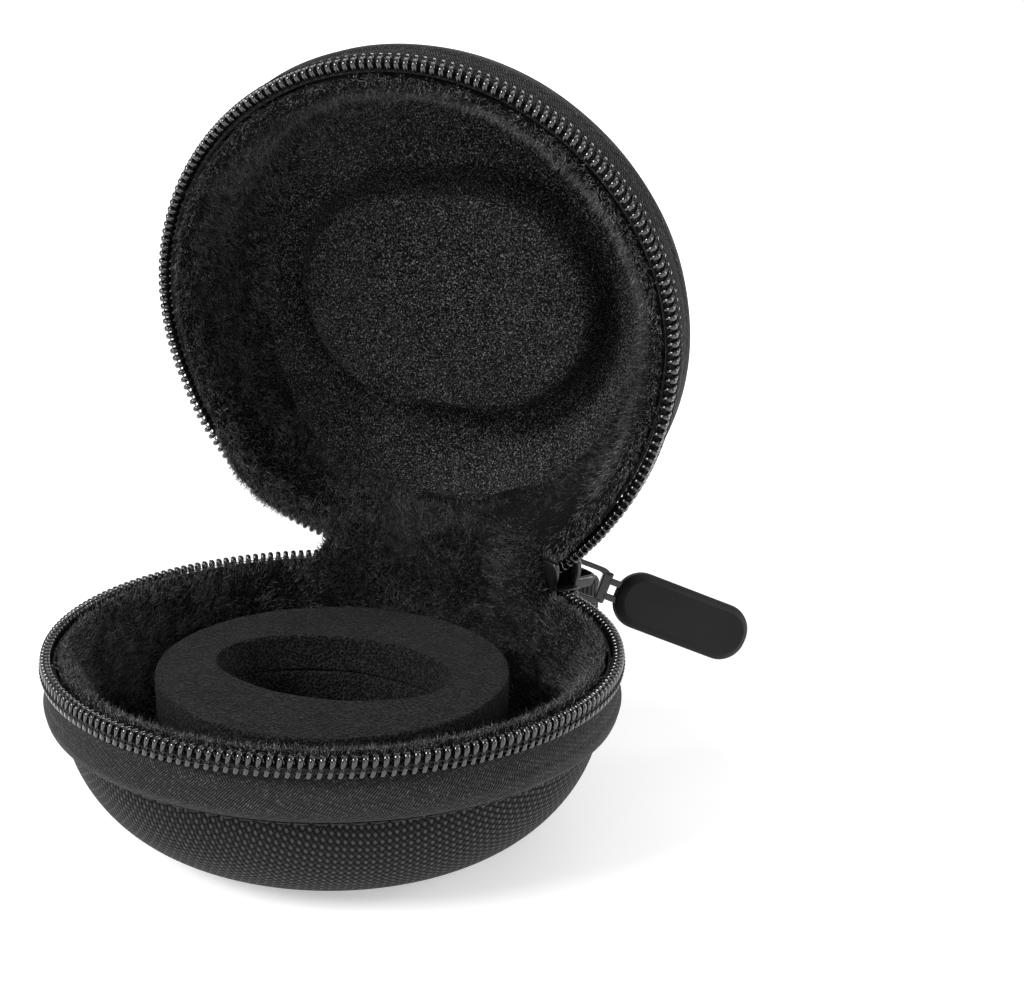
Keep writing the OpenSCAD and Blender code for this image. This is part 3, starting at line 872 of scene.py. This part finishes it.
def build_thread(name, lid, node):
    """Two rows of chain stitch over the coil, and the filler cord inside it."""
    parts, W = [], []
    ph = np.arange(106, 417, 0.30) if lid else np.arange(104, 436, 0.30)
    k = 2 * PI * np.radians(ph) * 50.9 / PITCH
    for zc, sgn in ((H - 2.75, 1), (H - 2.75, -1)):
        r = 52.02 + 0.06 * np.cos(k * 2)
        z = zc + 0.42 * sgn * np.sin(k / 2)
        path = polar(r, ph, z)
        v, f = tube(path, 0.1, 5, polar(1.0, ph, 0.0))
        parts.append((v, f))
        w = rim_weight(ph)
        W.append(np.concatenate([np.repeat(w, 5), w[[0, -1]]]))
    p2 = np.arange(104.5, 435.5 if not lid else 416, 1.0)
    if lid:
        p2 = np.arange(106, 416.5, 1.0)
    path = polar(50.93, p2, H - 2.95)
    v, f = tube(path, 0.5, 8, polar(1.0, p2, 0.0))
    parts.append((v, f))
    w = rim_weight(p2)
    W.append(np.concatenate([np.repeat(w, 8), w[[0, -1]]]))
    V, F = join(parts)
    W = np.concatenate(W)
    if not lid:
        return rideon(add(name, V, F, M_STITCH), "base", "thread", node)
    V = opened(to_lid(V), W)
    return bend(add(name, V, [f[:, ::-1] for f in F], M_STITCH), W, "thread", node)


build_thread("base_coil_stitching", False, "base_coil_cord")
build_thread("lid_coil_stitching", True, "lid_coil_cord")


def build_seam(name, lid, node):
    """Sewn line under the band: short stitches that dip into the cloth."""
    parts = []
    ph0, ph1 = (104, 436) if not lid else (104, 436)
    step = math.degrees(3.0 / 49.0)
    for c in np.arange(ph0 + step / 2, ph1, step):
        u = np.linspace(-1, 1, 7)
        ph = c + u * step * 0.40
        r = 48.78 + 0.28 * np.sqrt(np.clip(1 - (u * 0.98) ** 2, 0, 1))
        path = polar(r, ph, NECK - 0.12 + 0 * u)
        parts.append(tube(path, 0.2 * np.sqrt(np.clip(1.05 - u ** 2, 0.1, 1)), 6, polar(1.0, ph, 0.0)))
    V, F = join(parts)
    if lid:
        V = opened(to_lid(V))
        F = [f[:, ::-1] for f in F]
    return rideon(add(name, V, F, M_THREAD), "lid" if lid else "base", "thread", node)


build_seam("base_seam_stitches", False, "base_seam_thread")
build_seam("lid_seam_stitches", True, "lid_seam_thread")


# ---------------------------------------------------------------- hinge
def build_strip():
    nx, nz = 60, 64
    ph = np.linspace(-14.1, 14.1, nx)
    z = np.linspace(21.5, 46.5, nz)
    # outer face: over the lower band, in at the parting plane, over the upper band
    key_z = [21.5, 22.4, 24.4, 26.5, 28.5, 31, 34, 37, 39.5, 41.5, 43.6, 45.6, 46.5]
    key_r = [50.3, 51.6, 52.6, 52.5, 52.2, 52.3, 52.6, 52.3, 52.2, 52.5, 52.6, 51.6, 50.3]
    r = np.interp(z, key_z, key_r)
    for _ in range(3):
        r[1:-1] = (r[:-2] + 2 * r[1:-1] + r[2:]) / 4
    X, Zg = np.meshgrid(ph, z, indexing="ij")
    edge = 1 - smooth(0.0, 1.1, (14.1 - np.abs(X)) * 0.9)
    Rg = np.repeat(r[None, :], nx, 0) - 0.35 * edge + 0.10 * np.sin(X * 0.9) * np.sin(Zg * 0.8)
    outer = polar(Rg, 90 - X, Zg)
    inner = polar(Rg - 0.9 + 0.5 * edge, 90 - X, Zg)
    V = np.concatenate([outer, inner[::-1]], 0)        # closed round in x
    w = np.broadcast_to(smooth(25.5, 42.5, Zg), Zg.shape)
    W = np.concatenate([w, w[::-1]], 0)
    n = V.shape[0]
    Vf = V.reshape(-1, 3)
    F = [grid(n, nz, True, False)]
    m = nx
    i = np.arange(m - 1)
    lo = np.stack([i * nz, (n - 1 - i) * nz, (n - 2 - i) * nz, (i + 1) * nz], -1)
    hi = lo + nz - 1
    F += [lo[:, ::-1], hi]
    U = np.stack([X * 0.9, Zg], -1)
    c, s = math.cos(PI / 4), math.sin(PI / 4)
    U = np.stack([U[..., 0] * c - U[..., 1] * s, U[..., 0] * s + U[..., 1] * c], -1)
    U = np.concatenate([U, U[::-1]], 0).reshape(-1, 2)
    ob = add("hinge_strip_cloth", opened(Vf, W.ravel()), F, M_STRIP, U)
    bend(ob, W.ravel(), "cover_weave", "hinge_strip")
    # two stitched ends
    parts, Ws = [], []
    for zc in (22.9, 45.1, 24.6, 43.4):
        for c0 in np.arange(-12.4, 12.5, 3.1):
            u = np.linspace(-1, 1, 7)
            p = c0 + u * 1.15
            rr = np.interp(zc, z, r) + 0.02 + 0.2 * np.sqrt(np.clip(1 - (u * 0.98) ** 2, 0, 1))
            path = polar(rr, 90 - p, zc + 0 * u)
            v, f = tube(path, 0.2, 6, polar(1.0, 90 - p, 0.0))
            parts.append((v, f))
            Ws.append(np.full(len(v), float(smooth(25.5, 42.5, zc))))
    V, F = join(parts)
    W = np.concatenate(Ws)
    bend(add("hinge_strip_stitches", opened(V, W), F, M_THREAD), W, "thread")
    return ob


strip = build_strip()


def hinge_face(x, z):
    """Radius of the plush over the fold; x from -1 to 1 across, z the closed height. Returns radius, degrees off the hinge."""
    d = (z - 34.0) / 13.0
    half = 25.0 + 17.0 * np.abs(d) ** 1.3 + np.where(x > 0, 10.0 * (1 - np.abs(d) ** 2), 0.0)
    off = x * half
    r = np.interp(np.abs(z - 34.0), [0, 3, 7, 11, 13.4], [44.7, 45.0, 45.2, 44.3, 43.3])
    r = r - 0.55 * np.sin(off * 0.33 + 1.2) * np.sin(z * 0.55) - 0.4 * np.sin(off * 0.16 - 1.0) * np.cos((z - 34) * 0.42)
    r = r + 0.9 * smooth(0.8, 1.0, np.abs(x))
    return r, off


def build_hinge_plush():
    nx, nz = 120, 48
    x = np.linspace(-1, 1, nx)
    z = np.linspace(20.8, 47.2, nz)
    X, Zg = np.meshgrid(x, z, indexing="ij")
    R, off = hinge_face(X, Zg)
    thick = 1.2 + 0 * R
    w = smooth(24.5, 43.5, Zg)
    P = polar(R, 90 - off, Zg)
    Q = polar(R + thick, 90 - off, Zg)
    V = np.concatenate([P, Q[::-1]], 0)
    W = np.concatenate([w, w[::-1]], 0)
    n = V.shape[0]
    F = [grid(n, nz, True, False, flip=True)]
    i = np.arange(nx - 1)
    lo = np.stack([i * nz, (n - 1 - i) * nz, (n - 2 - i) * nz, (i + 1) * nz], -1)
    F += [lo, (lo + nz - 1)[:, ::-1]]
    ob = add("hinge_plush", opened(V.reshape(-1, 3), W.ravel()), F, M_PLUSH)
    bend(ob, W.ravel(), "plush", "hinge_lining")
    # its pile
    g = np.random.default_rng(81)
    cnt = 34000
    x, zz = g.uniform(-1, 1, cnt), g.uniform(20.8, 47.2, cnt)
    rr, off = hinge_face(x, zz)
    root = polar(rr + 0.1, 90 - off, zz)
    er, et = polar(1.0, 90 - off, 0.0), polar(1.0, 180 - off, 0.0)
    c1, c2 = value_noise(root, 0.42, 91), value_noise(root, 0.42, 92)
    sgn = np.sign(34 - zz)
    edge = smooth(0.86, 1.0, np.abs(x))
    d = -er * (0.9 - 0.5 * edge)[:, None] + np.array([0, 0, 1.0]) * (sgn * 0.25 + 0.25 * c1)[:, None] + et * (0.34 * c2 - 0.8 * edge * np.sign(x))[:, None] + g.normal(size=(cnt, 3)) * 0.26
    L = (1.6 + 0.25 * c1 + 0.35 * g.normal(size=cnt)).clip(0.6, 2.6)
    V, F = fibres(root, d, L, g.uniform(0.04, 0.075, cnt), et, 82, curl=0.22)
    W = np.repeat(smooth(24.5, 43.5, zz), 5)
    bend(add("hinge_pile", opened(V, W), F, M_FUR, solid=False), W, "plush")
    return ob


hinge_plush = build_hinge_plush()


# ---------------------------------------------------------------- slider
def prism_round(outline, h0, h1, bevel, warp, steps=3):
    """A plate from an outline (n, 2) with rounded edges, then bent by warp(x, y, h)."""
    outline = np.asarray(outline, float)
    c = outline.mean(0)
    d = outline - c
    nrm = np.roll(outline, -1, 0) - np.roll(outline, 1, 0)
    nrm = np.stack([nrm[:, 1], -nrm[:, 0]], -1)
    nrm /= np.linalg.norm(nrm, axis=1, keepdims=True) + 1e-9
    if ((nrm * d).sum(1)).mean() < 0:
        nrm = -nrm
    rows = []
    for k in range(steps + 1):
        t = k / steps * PI / 2
        rows.append((bevel * (1 - math.sin(t)), h0 + bevel * (1 - math.cos(t))))
    for k in range(steps + 1):
        t = k / steps * PI / 2
        rows.append((bevel * (1 - math.cos(t)), h1 - bevel * (1 - math.sin(t))))
    V = []
    for inset, h in rows:
        p = outline - nrm * inset
        V.append(np.column_stack([p, np.full(len(p), h)]))
    V = np.array(V)
    m, n = V.shape[0], V.shape[1]
    # inner rings fill the two faces so that they can bend
    def caps(h, ring):
        return [np.column_stack([c + (ring - c) * s, np.full(n, h)]) for s in (0.75, 0.5, 0.25)]
    low = caps(h0, V[0][:, :2])[::-1]
    high = caps(h1, V[-1][:, :2])
    rings = low + [V[k] for k in range(m)] + high
    A = np.array(rings)
    P = A.reshape(-1, 3)
    F = [grid(len(rings), n, False, True)]
    n0 = len(P)
    P = np.vstack([P, [*c, h0], [*c, h1]])
    j = np.arange(n)
    F.append(np.stack([j, np.full(n, n0), (j + 1) % n], -1))
    e = (len(rings) - 1) * n
    F.append(np.stack([e + j, e + (j + 1) % n, np.full(n, n0 + 1)], -1))
    return warp(P), F


def round_rect(w, h, r, n=6):
    pts = []
    for cx, cy, a0 in ((w / 2 - r, h / 2 - r, 0), (-w / 2 + r, h / 2 - r, 90), (-w / 2 + r, -h / 2 + r, 180), (w / 2 - r, -h / 2 + r, 270)):
        for k in range(n + 1):
            a = math.radians(a0 + 90 * k / n)
            pts.append((cx + r * math.cos(a), cy + r * math.sin(a)))
    return np.array(pts)


def spline_outline(pts, n=72):
    pts = np.asarray(pts, float)
    p, _ = resample(np.vstack([pts, pts[:1]]), n + 1)
    p = p[:-1]
    for _ in range(4):
        p = (np.roll(p, 1, 0) + 2 * p + np.roll(p, -1, 0)) / 4
    return p


def on_rim(P):
    """(along the rim, height, radius) to the frame, at the slider."""
    return polar(P[:, 2], SLIDER + np.degrees(P[:, 0] / 51.0), H + P[:, 1])


def build_slider():
    parts = []
    # mouth (two channels) at the low-angle end, one narrower channel at the other
    shape = spline_outline([(-6.2, 5.9), (-3, 5.9), (0, 5.6), (4, 5.0), (6.4, 4.6), (6.4, -4.6), (4, -5.0), (0, -5.6), (-3, -5.9), (-6.2, -5.9), (-6.45, -3), (-5.2, 0), (-6.45, 3)], 84)
    parts.append(prism_round(shape, 52.45, 53.65, 0.42, on_rim))
    parts.append(prism_round(shape * [0.98, 0.93], 47.55, 48.7, 0.4, on_rim))
    for sg in (1, -1):
        lip = spline_outline([(-6.0, 5.88 * sg), (-6.0, 5.02 * sg), (6.2, 5.02 * sg), (6.2, 5.3 * sg), (0, 5.7 * sg)], 60)
        parts.append(prism_round(lip, 50.6, 52.9, 0.2, on_rim))
    web = round_rect(3.2, 0.3, 0.1) + [-5.2, 0]
    parts.append(prism_round(web, 48.3, 53.0, 0.05, on_rim))
    V, F = join(parts)
    rideon(add("slider_plates", V, F, M_METAL), "slider", "slider_metal", "slider_body")
    # bridge: a bowed strap over the outer plate
    u = np.concatenate([np.linspace(-4.45, -4.45, 5), np.linspace(-4.35, 4.35, 19), np.linspace(4.45, 4.45, 5)])
    r = np.concatenate([np.linspace(53.3, 57.6, 5), 58.0 + 0.8 * np.clip(np.cos(np.linspace(-1, 1, 19) * PI / 2), 0, 1) ** 0.35, np.linspace(57.6, 53.3, 5)])
    path = polar(r, SLIDER + np.degrees(u / 55.5), H + 0 * u)
    ref = np.tile([0, 0, 1.0], (len(u), 1))
    rad = np.tile([[1.15, 0.55]], (len(u), 1))
    V, F = tube(path, rad, 16, ref)
    rideon(add("slider_bridge_bow", V, F, M_METAL), "slider", "slider_metal", "slider_bridge")


build_slider()


# ---------------------------------------------------------------- pull
def rotx(p, ax, deg):
    t = math.radians(deg)
    return np.asarray(p) @ np.array(Matrix.Rotation(t, 3, ax)).T


def in_pull(p):
    """The pull's own axes: x along it, y through its thickness, z across it."""
    q = rotx(rotx(p, "Z", -24.0), "Y", 26.0)
    return rotx(q + [56.5, 0, 0], "Z", SLIDER) + [0, 0, H]


def build_pull():
    flat = lambda P: in_pull(np.stack([P[:, 0], P[:, 2], P[:, 1]], -1))
    parts = []
    th = 0.7
    # eye bar
    z = np.linspace(-3.0, 3.0, 9)
    parts.append(tuple(tube(in_pull(np.stack([0 * z, 0 * z, z], -1)), 0.72, 14, np.tile(in_pull(np.array([[1.0, 0, 0]])) - in_pull(np.zeros((1, 3))), (9, 1)))))
    for sg in (1, -1):
        arm = spline_outline([(-0.4, 2.62 * sg), (-0.4, 3.65 * sg), (3, 3.7 * sg), (6.4, 3.65 * sg), (7.6, 3.0 * sg), (7.6, 2.2 * sg), (6.1, 2.3 * sg), (5.9, 2.62 * sg)], 56)
        parts.append(prism_round(arm, -th, th, 0.25, flat))
    # crossbar and neck, with its small hole made as a ring
    cross = round_rect(2.0, 6.4, 0.4) + [7.1, 0]
    parts.append(prism_round(cross, -th, th, 0.25, flat))
    for sg in (1, -1):
        side = round_rect(5.6, 1.35, 0.4) + [10.2, sg * 1.55]
        parts.append(prism_round(side, -th, th, 0.2, flat))
    V, F = join(parts)
    rideon(add("pull_link_wire", V, F, M_METAL), "pull", "slider_metal", "pull_link")
    # grip: rounded slab with broad bevelled edges
    Lg, Wg = 29.5, 11.4
    base = round_rect(Lg, Wg, Wg / 2 - 0.3, 14)
    rows = []
    prof = [(1.75, 2.2), (1.55, 2.19), (1.4, 2.13), (0.28, 1.12), (0.1, 0.88), (0.02, 0.6), (0.0, 0.3), (0.0, 0.0)]
    full = prof + [(a, -b) for a, b in prof[::-1][1:]]
    nrm = np.roll(base, -1, 0) - np.roll(base, 1, 0)
    nrm = np.stack([nrm[:, 1], -nrm[:, 0]], -1)
    nrm /= np.linalg.norm(nrm, axis=1, keepdims=True)
    for inset, h in full:
        q = base - nrm * inset
        rows.append(np.column_stack([q, np.full(len(q), h)]))
    face = rows[0][:, :2]
    for s in (0.8, 0.5, 0.2):
        rows.insert(0, np.column_stack([face * s, np.full(len(face), 2.2)]))
        rows.append(np.column_stack([face * s, np.full(len(face), -2.2)]))
    A = np.array(rows)
    n = A.shape[1]
    P = A.reshape(-1, 3) + [10.0 + Lg / 2, 0, 0]
    F = [grid(len(rows), n, False, True)]
    n0 = len(P)
    P = np.vstack([P, [10.0 + Lg / 2, 0, 2.2], [10.0 + Lg / 2, 0, -2.2]])
    j = np.arange(n)
    F.append(np.stack([j, np.full(n, n0), (j + 1) % n], -1))
    e = (len(rows) - 1) * n
    F.append(np.stack([e + j, e + (j + 1) % n, np.full(n, n0 + 1)], -1))
    ob = add("pull_grip_moulding", flat(P), F, M_RUBBER)
    rideon(ob, "pull", "grip_rubber", "pull_grip")


build_pull()


# ---------------------------------------------------------------- carry loop
def build_loop():
    L, t = 22.0, 1.0
    # centre line of the ribbon: out along one ply, round the tip, back along the other
    n = 30
    s = np.linspace(0, 1, n)
    tip_r = 3.05
    x_end = L - 3.6
    up = np.column_stack([s * x_end, 0.58 + (tip_r - 0.58) * smooth(0.15, 1.0, s)])
    a = np.linspace(PI / 2, -PI / 2, 26)[1:-1]
    tip = np.column_stack([x_end + tip_r * np.cos(a), tip_r * np.sin(a)])
    line = np.vstack([up, tip, up[::-1] * [1, -1]])
    d = np.gradient(line, axis=0)
    d /= np.linalg.norm(d, axis=1, keepdims=True)
    nr = np.stack([-d[:, 1], d[:, 0]], -1)
    arc = np.concatenate([[0], np.cumsum(np.linalg.norm(np.diff(line, axis=0), axis=1))])
    zz = np.linspace(0.0, 9.0, 19)
    rim = np.sqrt(np.clip(1 - (2 * np.abs(zz / 9.0 - 0.5)) ** 10, 0.05, 1))
    rows = []
    uv = []
    for sg in (1, -1):
        zs = zz if sg > 0 else zz[::-1]
        rm = rim if sg > 0 else rim[::-1]
        for z, k in zip(zs, rm):
            p = line + nr * sg * t / 2 * k
            wave = 0.12 * np.sin(arc * 0.5 + 1.0) * (z / 9.0 - 0.5)
            rows.append(np.column_stack([p, z + wave]))
            uv.append(np.column_stack([arc, np.full(len(arc), z)]))
    A = np.array(rows)
    m, k = A.shape[0], A.shape[1]
    P = A.reshape(-1, 3)
    F = [grid(m, k, True, False)]
    n0 = len(P)
    P = np.vstack([P, A[:, 0].mean(0), A[:, -1].mean(0)])
    i = np.arange(m)
    F.append(np.stack([i * k, np.full(m, n0), ((i + 1) % m) * k], -1)[:, ::-1])
    F.append(np.stack([i * k + k - 1, ((i + 1) % m) * k + k - 1, np.full(m, n0 + 1)], -1)[:, ::-1])
    uv = np.vstack([np.array(uv).reshape(-1, 2), [[0, 0], [0, 0]]])
    place = lambda q: rotx(q, "Z", 25.0) + [13.1, 51.2, 20.8]
    ob = add("carry_loop_ribbon", place(P), F, M_RIBBON, uv)
    rideon(ob, "loop", "ribbon", "carry_loop")
    # cross stitches that hold both plies near the seam
    parts = []
    for z in np.arange(0.9, 8.4, 1.25):
        for sg in (1, -1):
            u = np.linspace(-1, 1, 7)
            q = np.column_stack([2.6 + 0.12 * u, np.full(7, sg * 1.22) + sg * 0.12 * np.sqrt(np.clip(1 - (0.98 * u) ** 2, 0, 1)), z + 0.45 * u])
            parts.append(tube(place(q), 0.17, 6, np.tile(place(np.array([[0, 1.0, 0]])) - place(np.zeros((1, 3))), (7, 1))))
    V, F = join(parts)
    rideon(add("carry_loop_stitches", V, F, M_THREAD), "loop", "thread")
    return ob


loop = build_loop()


# ---------------------------------------------------------------- foam rings
def build_ring(name, z0, body, node, seed):
    ph = np.linspace(0, 360, 300, endpoint=False)
    a = np.radians(ph)
    hx = 22.0 * np.sign(np.cos(a)) * np.abs(np.cos(a)) ** 1.08
    hy = 14.4 * np.sign(np.sin(a)) * np.abs(np.sin(a)) ** 0.94
    hole = np.stack([hx, hy], -1)
    out = np.stack([32 * np.cos(a), 32 * np.sin(a)], -1)
    T = 7.0
    rows = []

    def ring(f, z):
        p = hole * (1 - f) + out * f
        rows.append(np.column_stack([p, np.full(len(p), z)]))
    e = 0.55
    prof = []
    for k in range(5):
        t = k / 4 * PI / 2
        prof.append((0.03 * (1 - math.sin(t)), e * (1 - math.cos(t))))
    for z in np.linspace(e, T - e, 7)[1:-1]:
        prof.append((0.0, z))
    for k in range(5):
        t = k / 4 * PI / 2
        prof.append((0.03 * (1 - math.cos(t)), T - e * (1 - math.sin(t))))
    for f in np.linspace(0.03, 0.965, 16)[1:-1]:
        prof.append((f, T))
    for k in range(5):
        t = k / 4 * PI / 2
        prof.append((0.965 + 0.035 * math.sin(t), T - e * (1 - math.cos(t))))
    for z in np.linspace(T - e, e, 7)[1:-1]:
        prof.append((1.0, z))
    for k in range(5):
        t = k / 4 * PI / 2
        prof.append((1.0 - 0.035 * (1 - math.cos(t)), e * (1 - math.sin(t))))
    for f in np.linspace(0.965, 0.03, 12)[1:-1]:
        prof.append((f, 0.0))
    prof[0] = (0.03, 0.0)
    for f, z in prof:
        ring(f, z)
    A = np.array(rows)
    q = A.reshape(-1, 3)
    A[..., 2] += (0.07 * value_noise(q, 0.5, seed) + 0.03 * value_noise(q, 2.2, seed + 1)).reshape(A.shape[:2])
    er = np.stack([np.cos(a), np.sin(a)], -1)[None]
    A[..., :2] += er * (0.05 * value_noise(q, 1.3, seed + 2)).reshape(A.shape[:2])[..., None]
    A[..., 2] += z0
    ob = add(name, A.reshape(-1, 3), grid(len(prof), len(ph), True, True), M_FOAM)
    rideon(ob, body, "ring_foam", node)
    return ob


build_ring("foam_ring_low", 13.3, "ring_lower", "foam_ring_lower", 101)
build_ring("foam_ring_top", 20.6, "ring_upper", "foam_ring_upper", 111)


# ---------------------------------------------------------------- what stays from the frame
for n in ("base_shell", "lid_shell"):
    NODES[n].data.materials.clear()
    NODES[n].data.materials.append(M_BOARD)


# ---------------------------------------------------------------- stage, light, camera
def stage():
    me = bpy.data.meshes.new("floor")
    n, R = 64, 60.0
    ring = [(R * math.cos(2 * PI * i / n), R * math.sin(2 * PI * i / n), -0.0002) for i in range(n)]
    me.from_pydata(ring, [], [tuple(range(n))])
    fl = bpy.data.objects.new("floor", me)
    bpy.context.scene.collection.objects.link(fl)
    m = bpy.data.materials.new("floor")
    m.use_nodes = True
    p = m.node_tree.nodes["Principled BSDF"]
    p.inputs["Base Color"].default_value = (0.8, 0.8, 0.8, 1)
    p.inputs["Roughness"].default_value = 0.9
    p.inputs["Specular IOR Level"].default_value = 0.1
    p.inputs["Emission Color"].default_value = (1, 1, 1, 1)
    p.inputs["Emission Strength"].default_value = 0.42
    me.materials.append(m)


def sun(name, towards, power, angle):
    d = bpy.data.lights.new(name, "SUN")
    d.energy = power
    d.angle = math.radians(angle)
    o = bpy.data.objects.new(name, d)
    bpy.context.scene.collection.objects.link(o)
    o.rotation_mode = "QUATERNION"
    o.rotation_quaternion = (-Vector(towards)).to_track_quat("-Z", "Y")
    return o


def studio():
    """White round the horizon, darker overhead, with three soft lights."""
    w = bpy.data.worlds.new("studio")
    bpy.context.scene.world = w
    w.use_nodes = True
    nt = w.node_tree
    bg = nt.nodes["Background"]
    tc = nt.nodes.new("ShaderNodeTexCoord")
    sep = nt.nodes.new("ShaderNodeSeparateXYZ")
    nt.links.new(tc.outputs["Generated"], sep.inputs[0])
    k = ramp(nt, S(nt, sep.outputs[2]), 0.08, 0.2, 1.05, 0.22)
    nt.links.new(k.k, bg.inputs["Strength"])
    bg.inputs["Color"].default_value = (1, 1, 1, 1)
    sun("key", (-0.54, -0.62, 0.58), 3.3, 26)
    sun("top", (0.15, 0.2, 1.0), 0.7, 80)
    sun("rim", (0.9, 0.25, 0.4), 1.45, 30)
    sun("back", (-0.15, 0.85, 0.55), 0.8, 60)
    sun("fill", (0.5, -0.8, 0.35), 0.45, 18)
    bpy.context.scene.view_settings.view_transform = "Standard"


stage()
studio()


def camera():
    az, el, ro = math.radians(-24.0), math.radians(20.7), math.radians(-0.7)
    f = np.array([math.sin(az) * math.cos(el), math.cos(az) * math.cos(el), -math.sin(el)])
    r = np.array([math.cos(az), -math.sin(az), 0.0])
    u = np.cross(r, f)
    r2 = r * math.cos(ro) + u * math.sin(ro)
    u2 = -r * math.sin(ro) + u * math.cos(ro)
    c = (np.array([0, 0, H]) - f * 300.0) * 0.001
    d = bpy.data.cameras.new("camera")
    d.sensor_width = 36.0
    d.lens = 5.57 * 300.0 / 1024.0 * 36.0
    d.shift_x = (512 - 331.5) / 1024.0
    d.shift_y = (633.0 - 500) / 1024.0
    d.clip_start, d.clip_end = 0.01, 10
    o = bpy.data.objects.new("camera", d)
    m = Matrix([[r2[0], u2[0], -f[0], c[0]], [r2[1], u2[1], -f[1], c[1]], [r2[2], u2[2], -f[2], c[2]], [0, 0, 0, 1]])
    o.matrix_world = m
    bpy.context.scene.collection.objects.link(o)
    bpy.context.scene.camera = o


camera()

bpy.context.view_layer.update()
